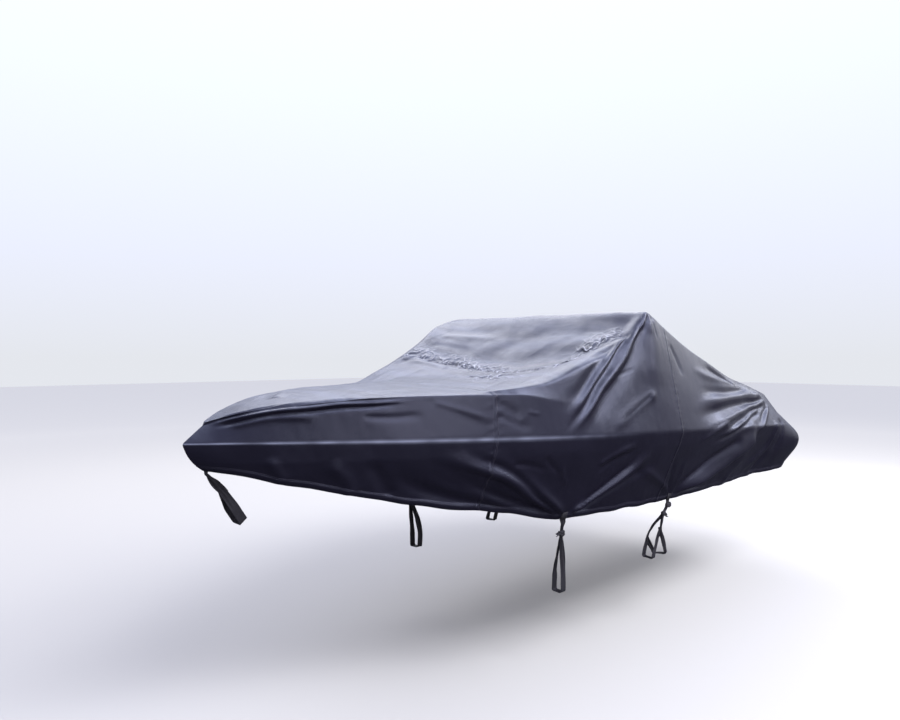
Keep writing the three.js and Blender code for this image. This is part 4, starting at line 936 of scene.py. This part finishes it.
def girth_uv(points, shares):
    """Lengthwise distance, and distance round the section from the centreline, in metres."""
    step = np.linalg.norm(np.diff(points, axis=1), axis=-1)
    girth = np.concatenate([np.zeros((len(points), 1)), np.cumsum(step, 1)], 1)
    girth -= girth[:, HALF_COLUMNS - 1:HALF_COLUMNS]
    length = np.broadcast_to(COVER_LENGTH * shares[:, None], girth.shape)
    return np.stack([length, girth], -1)


GUNWALE_HIGHLIGHT_SPAN = (0.1, 1.3)        # x over which the painted highlight along the gunwale crease comes in towards the bow
GUNWALE_HIGHLIGHT_COLUMNS = 0.9            # its width in columns
FOOT_LOW = 0.024               # the crinkles spread up the glass from its foot
FOOT_REACH = 0.044             # and this far to each side of that
FOOT_SPAN = (-0.45, 0.15)      # y over which they grow towards port
CRINKLE_PATCH = {"at": (0.68, 0.20), "reach": (0.12, 0.22), "share": 0.6}
SEAM_NEAR = 0.03               # within this of a lap its stitches count, not the hem's


def painted_glints_and_stitches(points, shares):
    """What the finish needs to know of each point: a painted highlight along the gunwale crease
    that fades aft, crinkles in bell curves round the windscreen's foot and in a patch ahead of it,
    which give a bump and painted glints, and the place and run of the stitched rows."""
    line = np.exp(-((FROM_HEM - GUNWALE_COLUMN) / GUNWALE_HIGHLIGHT_COLUMNS) ** 2)
    gunwale_x = points[:, GUNWALE_COLUMN, 0]
    uneven = 0.8 + 0.2 * ripple(gunwale_x, 0, 0.12, 61)
    # A painted highlight along the gunwale crease, fading aft.
    painted_gunwale_highlight = (ramp(gunwale_x, *GUNWALE_HIGHLIGHT_SPAN) * np.clip(uneven, 0, 1.2))[:, None] * line[None]
    x, y = points[..., 0], points[..., 1]
    gap, run, _ = beside(x + FOOT_LOW, y, finer(WINDSCREEN_FOOT, 4), 0.2)
    crinkle = np.exp(-(gap / FOOT_REACH) ** 2) * np.clip(0.9 + 0.4 * ripple(run, 0 * run, 0.2, 22), 0.55, 1.3)
    crinkle *= 0.55 + 0.50 * ramp(y, *FOOT_SPAN)
    (patch_x, patch_y), (long, wide) = CRINKLE_PATCH["at"], CRINKLE_PATCH["reach"]
    crinkle += CRINKLE_PATCH["share"] * np.exp(-((x - patch_x) / long) ** 2 - ((y - patch_y) / wide) ** 2)
    on_top = ramp(FROM_HEM, SIDE_COLUMNS - 1, SIDE_COLUMNS + 4)[None]
    port = (np.arange(COLUMNS) < HALF_COLUMNS)[None, :, None]
    hem_edge = np.linalg.norm(points - np.where(port, points[:, 2:3], points[:, -3:-2]), axis=-1)
    lap = BOW_TIP - COVER_LENGTH * shares[:, None] + 0 * x
    seam = np.where(np.abs(lap - FORE_SEAM) < np.abs(lap - AFT_SEAM), FORE_SEAM, AFT_SEAM)
    from_lap = np.abs(lap - (seam - SEAM_LAP))
    by_seam = from_lap < SEAM_NEAR
    return {"painted_gunwale_highlight": painted_gunwale_highlight, "crinkle": crinkle * on_top, "sewn": np.where(by_seam, from_lap, hem_edge),
            "run": np.where(by_seam, girth_uv(points, shares)[..., 1], lap)}


def sheet_area(points, quads):
    """Area of a mesh: half the cross product of each quad's diagonals, summed."""
    corner = points.reshape(-1, 3)[quads]
    cross = np.cross(corner[:, 2] - corner[:, 0], corner[:, 3] - corner[:, 1])
    return np.linalg.norm(cross, axis=1).sum() / 2


# ---------------------------------------------------------------- bow panel
# One piece of cloth folded round the stem, closed in front, its after edge lapped under the
# middle panel at the fore seam.  Its hem is turned up once.

BOW_CELLS = 130
STEM_STEPS = [0.003, 0.007]    # stations close behind the bow tip
EDGE_STEP = 0.001              # width of a panel's cut edge at a seam

bow_shares = stations(BOW_TIP, FORE_SEAM, BOW_CELLS,
                      [*(BOW_TIP - step for step in STEM_STEPS), FORE_SEAM + EDGE_STEP])
bow_points, _ = drape(bow_shares)
bow_points[0, :, 1] = 0
bow_points[0, HALF_COLUMNS:] = bow_points[0, HALF_COLUMNS - 2::-1]
bow_numbers = grid_numbers(bow_points)
bow_numbers[0, HALF_COLUMNS:] = bow_numbers[0, HALF_COLUMNS - 2::-1]
bow_quads = grid_quads(bow_numbers)
bow_panel = cloth_piece("bow_panel_cloth", bow_points, bow_quads, girth_uv(bow_points, bow_shares),
                        CLOTH_THICK, cloth_material, "panel_bow",
                        painted_glints_and_stitches(bow_points, bow_shares))
sheet_area(bow_points, bow_quads)

# ---------------------------------------------------------------- middle panel
# The piece over the windscreen and the support bar, from the fore seam to the aft seam.

MID_CELLS = 145
LAP_STEP = 0.0005              # width of the step at either edge of a lap


def lap_places(seam):
    """Stations at the two edges of the lap at a seam."""
    return [seam - LAP_STEP, seam - SEAM_LAP + LAP_STEP, seam - SEAM_LAP]


mid_shares = stations(FORE_SEAM, AFT_SEAM, MID_CELLS, [*lap_places(FORE_SEAM), AFT_SEAM + EDGE_STEP])
mid_points, _ = drape(mid_shares)
mid_quads = grid_quads(grid_numbers(mid_points))
mid_panel = cloth_piece("mid_panel_cloth", mid_points, mid_quads, girth_uv(mid_points, mid_shares),
                        CLOTH_THICK, cloth_material, "panel_mid",
                        painted_glints_and_stitches(mid_points, mid_shares))
sheet_area(mid_points, mid_quads)

# ---------------------------------------------------------------- stern panel
# The piece from the aft seam to the stern, with the cloth of the transom hanging down behind
# between its two rounded corners.

STERN_CELLS = 104
TRANSOM_CROWN = 0.034          # how far the transom stands aft of its corners
TRANSOM_DEPTH = 0.7            # corner to hem, for the weave's UV
TRANSOM_FLATTENS = 1.5         # power by which the top's shape dies out down the transom
CROWN_POWERS = (0.6, 4)        # how full the crown is, down the transom and across it
TRANSOM_WAVES = {"out": 0.002, "size": 0.2}
TRANSOM_FADES = (0.12, 5)      # its folds die out over this share of its height, and these columns

stern_shares = stations(AFT_SEAM, BOW_TIP - COVER_LENGTH, STERN_CELLS, lap_places(AFT_SEAM))
stern_points, _ = drape(stern_shares)


def transom(section, shares_down):
    """Cloth between the two corners: the top's last line carried down to the hem as it flattens by
    a power of the share left, with a sine crown that stands aft."""
    top = section[SIDE_COLUMNS:COLUMNS - SIDE_COLUMNS]
    port = section[SIDE_COLUMNS::-1]
    starboard = section[COLUMNS - 1 - SIDE_COLUMNS:]
    down = shares_down[:, None, None]
    share = np.linspace(0, 1, len(top))[None, :, None]
    straight = top[0] + (top[-1] - top[0]) * share
    shape = (top[None] - straight) * (1 - down) ** TRANSOM_FLATTENS
    width = top[:, 1] / top[0, 1]
    across = (1 - width)[None, :, None] / 2
    points = port[:, None] * (1 - across) + starboard[:, None] * across
    points[..., 0] += shape[..., 0]
    points[..., 2] += shape[..., 2]
    crown = TRANSOM_CROWN * np.sin(np.pi * shares_down) ** CROWN_POWERS[0]
    points[..., 0] -= crown[:, None] * (1 - width[None] ** CROWN_POWERS[1])
    return points


down_shares = np.arange(SIDE_COLUMNS + 1) / SIDE_COLUMNS
transom_points = transom(stern_points[-1], down_shares)
transom_y, transom_z = transom_points[..., 1], transom_points[..., 2]
transom_height = all_folds(TRANSOM_FOLDS, transom_y, transom_z)
transom_height += TRANSOM_WAVES["out"] * ripple(transom_y, transom_z, TRANSOM_WAVES["size"], 41)
inside = np.minimum(np.arange(transom_y.shape[1]), np.arange(transom_y.shape[1])[::-1])
transom_height *= ramp(down_shares, 0, TRANSOM_FADES[0])[:, None] * ramp(inside, 0, TRANSOM_FADES[1])[None]
transom_points -= grid_normals(transom_points) * transom_height[..., None]

stern_numbers = grid_numbers(stern_points)
transom_numbers = grid_numbers(transom_points, stern_numbers.size)
transom_numbers[0] = stern_numbers[-1, SIDE_COLUMNS:COLUMNS - SIDE_COLUMNS]
transom_numbers[:, 0] = stern_numbers[-1, SIDE_COLUMNS::-1]
transom_numbers[:, -1] = stern_numbers[-1, COLUMNS - 1 - SIDE_COLUMNS:]
stern_quads = np.concatenate([grid_quads(stern_numbers), grid_quads(transom_numbers)])
all_points = np.concatenate([stern_points.reshape(-1, 3), transom_points.reshape(-1, 3)])
transom_run = np.broadcast_to(COVER_LENGTH + TRANSOM_DEPTH * down_shares[:, None], transom_y.shape)
transom_uv = np.stack([transom_run, transom_points[..., 1]], -1)
all_uv = np.concatenate([girth_uv(stern_points, stern_shares).reshape(-1, 2), transom_uv.reshape(-1, 2)])
hem_away = np.linalg.norm(transom_points - transom_points[-3:-2], axis=-1)
transom_marks = {"painted_gunwale_highlight": 0 * hem_away, "crinkle": 0 * hem_away, "sewn": hem_away,
                 "run": transom_points[..., 1]}
stern_marks = {mark: np.concatenate([values.ravel(), transom_marks[mark].ravel()])
               for mark, values in painted_glints_and_stitches(stern_points, stern_shares).items()}
stern_panel = cloth_piece("stern_panel_cloth", all_points, stern_quads, all_uv,
                          CLOTH_THICK, cloth_material, "panel_stern", stern_marks)
sheet_area(all_points, stern_quads)

# ---------------------------------------------------------------- tie-down straps
# Black polyester webbing, 40 mm wide, woven with fine lengthwise ribs.  One end of each strap is
# sewn flat on the hem; below it the band bunches into a knot, and a loop goes on round a beam
# of the trailer.

WEBBING_WIDE = 0.040
WEBBING_THICK = 0.0015
WEBBING_CELLS = 10             # across one band
WEBBING_TONES = (0.006, 0.0055, 0.0075, 1), (0.014, 0.0125, 0.017, 1)
SELVEDGE_TONE = (0.020, 0.018, 0.024, 1)
SELVEDGE = (0.0165, 0.0185)    # distance from the middle at which the pale selvedge starts
RIB_PITCH, PICK_PITCH = 0.0021, 0.0016
RIB_HIGH, PICK_HIGH = 0.00035, 0.00030
SEWN_END = 0.052               # how far the sewn end reaches up from the hem
SEWN_LIFT = WEBBING_THICK + 0.0012     # its outer face stands this far off the cloth
BUNCH_WAVES = 1.5              # folds across a bunched band
BUNCH_DEPTH = 0.20             # their depth as a share of the band's width and slack
BUNCH_DRIFT = (0.6, 40)        # how far they drift along the band, and how fast
MM = 0.001                     # the straps' tables are in millimetres


def webbing_finish():
    """Black webbing: lengthwise ribs crossed by picks, a slightly paler selvedge."""
    finish = Finish("webbing_weave", Specular_IOR_Level=0.2)
    flat = finish.node("ShaderNodeTexCoord", output="UV")
    across = finish.node("ShaderNodeSeparateXYZ", None, {0: flat}, "X")
    ribs = finish.bands(flat, "X", RIB_PITCH)
    picks = finish.bands(flat, "Y", PICK_PITCH)
    wear = finish.noise(flat, Scale=60.0, Detail=3.0)
    selvedge = finish.span(finish.math("ABSOLUTE", across), *SELVEDGE)
    colour = finish.mix(selvedge * 0.4, finish.mix(wear, *WEBBING_TONES), SELVEDGE_TONE)
    height = ribs * RIB_HIGH + ribs * picks * PICK_HIGH
    bump = finish.node("ShaderNodeBump", None, {"Strength": 0.6, "Distance": 1.0, "Height": height})
    finish.set(Base_Color=colour, Roughness=0.62 + 0.16 * wear, Normal=bump)
    return finish.material


webbing_material = webbing_finish()


def unit(v):
    """Vectors brought to length one."""
    return v / np.maximum(np.linalg.norm(v, axis=-1, keepdims=True), 1e-12)


def band_rows(table, side, pitch=0.004):
    """Fine rows of a band: its middle on a smooth curve through the places, its width turned
    by turn about Z and tip up from level, and its excess width folded into cosine waves."""
    x, y, z, width, turn, tip = np.array(table, float).T
    place = np.stack([x, y * side, z], -1) * MM
    yaw, up = np.radians(turn * side), np.radians(tip)
    wide = np.stack([np.cos(yaw) * np.cos(up), np.sin(yaw) * np.cos(up), np.sin(up)], -1)
    along = run_along(place)
    q = np.linspace(0, along[-1], max(4, int(along[-1] / pitch)))
    centre = smooth_path(place, q)
    wide = np.stack([np.interp(q, along, wide[:, k]) for k in range(3)], -1)
    width = np.interp(q, along, width * MM)
    heading = unit(np.gradient(centre, axis=0))
    wide = unit(wide - (wide * heading).sum(-1, keepdims=True) * heading)
    thick = np.cross(wide, heading) * side
    u = np.linspace(-1, 1, WEBBING_CELLS + 1)
    slack = np.sqrt(np.maximum((WEBBING_WIDE / width) ** 2 - 1, 0))
    depth = BUNCH_DEPTH * slack * width
    drift = BUNCH_DRIFT[0] * np.sin(q[:, None] * BUNCH_DRIFT[1])
    wave = depth[:, None] * np.cos(BUNCH_WAVES * np.pi * u + drift)
    return (centre[:, None] + wide[:, None] * (u[None] * width[:, None] * side / 2)[..., None]
            + thick[:, None] * wave[..., None])


def sewn_rows(x, side):
    """Rows of the sewn end, from its top down to the hem, lying on the draped cloth."""
    across = np.linspace(x + WEBBING_WIDE / 2, x - WEBBING_WIDE / 2, WEBBING_CELLS + 1)
    points, normals = drape((BOW_TIP - across) / COVER_LENGTH)
    if side < 0:
        points, normals = points[:, ::-1], normals[:, ::-1]
    skirt = points[:, :len(HEM_EDGES) + HEM_CELLS]
    reach = np.linalg.norm(skirt - skirt[:, :1], axis=-1).mean(0)
    kept = np.nonzero(reach <= SEWN_END)[0][::-1]
    rows = (points + normals * SEWN_LIFT)[:, kept].transpose(1, 0, 2)
    return rows[:, ::-1] if side > 0 else rows


WOUND = {"rows": 40, "swell": 0.10, "flare": 0.25, "bulge": 0.22, "wrinkle": 0.4}   # rows in a turn


def wound_band(centre, radii, side, turns=1.6, width=0.019, lean=0.35, start=0.0):
    """A band wound round a knot: an oval helix that swells as it winds, its width standing along
    the strap and bulging outwards by a parabola."""
    angle = start + np.linspace(0, 2 * np.pi * turns, int(WOUND["rows"] * turns))
    swell = 1 + WOUND["swell"] * (angle - start) / (2 * np.pi * turns)
    middle = np.array(centre) * (MM, MM * side, MM)
    rx, ry, rz = np.array(radii) * MM
    path = middle + np.stack([rx * swell * np.cos(angle), ry * swell * np.sin(angle) * side,
                              rz * lean * np.sin(angle * 0.5 + 0.6)], -1)
    heading = unit(np.gradient(path, axis=0))
    up = unit(np.stack([WOUND["flare"] * np.cos(angle), 0 * angle, np.ones_like(angle)], -1))
    up = unit(up - (up * heading).sum(-1, keepdims=True) * heading)
    out = np.cross(heading, up)
    u = np.linspace(-1, 1, WEBBING_CELLS + 1)
    wrinkled = 1 + WOUND["wrinkle"] * np.sin(3 * angle)[:, None]
    bulge = WOUND["bulge"] * width * (1 - u[None] ** 2) * wrinkled
    return path[:, None] + up[:, None] * (u * width / 2)[None, :, None] + out[:, None] * bulge[..., None]


def strap_piece(name, bands, node):
    """One strap: its bands as grids of quads with lengthwise UV in metres, and its thickness."""
    points, quads, uv, count = [], [], [], 0
    for band in bands:
        quads.append(grid_quads(grid_numbers(band, count)))
        points.append(band.reshape(-1, 3))
        middle = band[:, band.shape[1] // 2]
        lane = np.linspace(-WEBBING_WIDE / 2, WEBBING_WIDE / 2, band.shape[1])
        uv.append(np.stack(np.meshgrid(lane, run_along(middle)), -1).reshape(-1, 2))
        count += band[..., 0].size
    return cloth_piece(name, np.concatenate(points), np.concatenate(quads), np.concatenate(uv),
                       WEBBING_THICK, webbing_material, node)


FORE_STRAP, AFT_STRAP = 0.585, -0.335  # x of the sewn ends
# Columns of the bands' tables, port side: x, y and z of the middle, the width, how far the width
# is turned about Z and how far it is tipped up, in degrees.
FORE_DROP = [
    (584, 623, -1104, 38, 0, 0), (581, 614, -1134, 30, 0, 0), (579, 609, -1162, 22, 0, 0),
]
FORE_LOOP = [
    (578, 607, -1164, 20, 0, 0), (572, 605, -1215, 32, -12, 0), (562, 603, -1310, 37, -8, 0),
    (556, 601, -1391, 40, 0, 0), (555, 600.8, -1460, 40, 0, 0), (555, 598, -1468, 40, 0, 0),
    (554, 590, -1471, 40, 0, 0), (550, 549, -1471, 40, 0, 0), (549, 541, -1468, 40, 0, 0),
    (548, 539.2, -1460, 40, 0, 0), (544, 539, -1391, 40, 0, 0), (550, 556, -1300, 34, 20, 0),
    (566, 588, -1210, 26, 30, 0), (576, 605, -1162, 20, 20, 0),
]
FORE_END = [
    (578, 609, -1160, 20, 0, 70), (600, 613, -1157, 24, 0, 75), (622, 611, -1163, 22, 0, 80),
]
AFT_DROP = [
    (-334, 697, -1124, 34, 0, 0), (-322, 696, -1150, 26, 0, 0), (-297, 691, -1182, 18, 0, 0),
]
AFT_END = [
    (-296, 691, -1182, 18, 0, 70), (-318, 694, -1192, 20, 0, 60), (-338, 690, -1206, 20, 0, 50),
]
AFT_LOOP = [
    (-295, 690, -1186, 18, 50, 0), (-283, 686, -1245, 30, 40, 0), (-272, 677, -1292, 34, 10, 0),
    (-260, 670, -1340, 36, 0, 0), (-221, 668.8, -1430, 36, 0, 0), (-219, 666, -1437, 36, 0, 0),
    (-218, 658, -1440, 36, 0, 0), (-226, 613, -1440, 36, 0, 0), (-227, 605, -1437, 36, 0, 0),
    (-228, 603.2, -1430, 36, 0, 0), (-262, 603, -1344, 36, 0, 0), (-276, 630, -1270, 30, 40, 0),
    (-290, 676, -1204, 20, 40, 0), (-295, 689, -1184, 18, 30, 0),
]
# The port one is wound a second time, its bands crossing above the beam.
AFT_SECOND_TURN = [
    (-276, 682, -1262, 28, -20, 0), (-290, 676, -1296, 34, -8, 0), (-321, 671, -1338, 36, 0, 0),
    (-360, 668.8, -1430, 36, 0, 0), (-362, 666, -1437, 36, 0, 0), (-363, 658, -1440, 36, 0, 0),
    (-334, 613, -1440, 36, 0, 0), (-333, 605, -1437, 36, 0, 0), (-331, 602.4, -1430, 36, 0, 0),
    (-272, 602.2, -1354, 34, 0, 0), (-264, 603.4, -1340, 30, 0, 0),
]
# The bands wound round each knot, in millimetres but for the width.
FORE_KNOTS = [
    {"centre": (579, 609, -1160), "radii": (15, 9, 16)},
    {"centre": (583, 610, -1157), "radii": (16, 10, 12), "turns": 1.1, "width": 0.017, "lean": -0.5,
     "start": 1.8},
]
AFT_KNOTS = [
    {"centre": (-334, 700, -1136), "radii": (20, 9, 15), "turns": 1.5, "width": 0.020},
    {"centre": (-296, 691, -1183), "radii": (13, 9, 14), "turns": 1.6, "width": 0.018},
]


def strap_bands(x, side, drop, others, knots):
    """All bands of a side strap: its sewn end carried on into the drop, the others, the knots."""
    hanging = np.concatenate([sewn_rows(x, side), band_rows(drop, side)])
    return [hanging, *(band_rows(table, side) for table in others),
            *(wound_band(side=side, **knot) for knot in knots)]


for label, node_side, side in (("port", "port", 1), ("starboard", "stbd", -1)):
    fore = strap_bands(FORE_STRAP, side, FORE_DROP, [FORE_LOOP, FORE_END], FORE_KNOTS)
    piece = strap_piece(f"fore_strap_{label}", fore, f"strap_{node_side}_fore")
    aft = strap_bands(AFT_STRAP, side, AFT_DROP, [AFT_LOOP, AFT_END], AFT_KNOTS)
    if side > 0:
        aft.append(band_rows(AFT_SECOND_TURN, side))
    piece = strap_piece(f"aft_strap_{label}", aft, f"strap_{node_side}_aft")

# ---------------------------------------------------------------- bow strap
# The same webbing, sewn across the stem, turned edge on as it leaves the hem and spread
# again round the head of the trailer's winch post.

POST_HALF = 36                 # half width of the winch post with its clearance
BOW_DROP = [
    (2180, 0, -742, 30, -88, 0), (2166, 0, -757, 34, -84, 0), (2150, 0, -776, 34, -55, -20),
    (2134, 0, -794, 36, -20, -32), (2110, 1, -820, 36, 0, -40), (2098, 3, -836, 36, 0, -40),
]
BOW_LOOP = [
    (2114, 0.5, -816, 35, 0, -40), (2088, 20, -860, 37, 0, -40), (2064, POST_HALF, -904, 40, 0, -40),
    (2034, POST_HALF, -952, 40, 0, -40), (2029, POST_HALF - 7, -960, 40, 0, -40),
]
back_half = [(x, -y, *rest) for x, y, *rest in BOW_LOOP[::-1]]
STEM_REACH = [0.022, 0.014, 0.007, 0.002, 0.0004]      # stations of the sewn end, behind the bow tip


def stem_tab():
    """Rows of the sewn end folded round the stem, 22 mm to each side and 52 mm up from the hem."""
    points, normals = drape(np.array(STEM_REACH) / COVER_LENGTH)
    height = np.linalg.norm(points[0, :GUNWALE_COLUMN] - points[0, :1], axis=-1)
    kept = np.nonzero(height <= SEWN_END)[0][::-1]
    lifted = points + normals * SEWN_LIFT
    port = lifted[:, kept].transpose(1, 0, 2)
    starboard = lifted[::-1, COLUMNS - 1 - kept].transpose(1, 0, 2)
    middle = (port[:, -1:] + starboard[:, :1]) / 2
    middle[..., 1] = 0
    return np.concatenate([port, middle, starboard], 1)


bow_bands = [np.concatenate([stem_tab(), band_rows(BOW_DROP, 1)]), band_rows(BOW_LOOP + back_half, 1)]
bow_strap = strap_piece("bow_strap", bow_bands, "strap_bow")
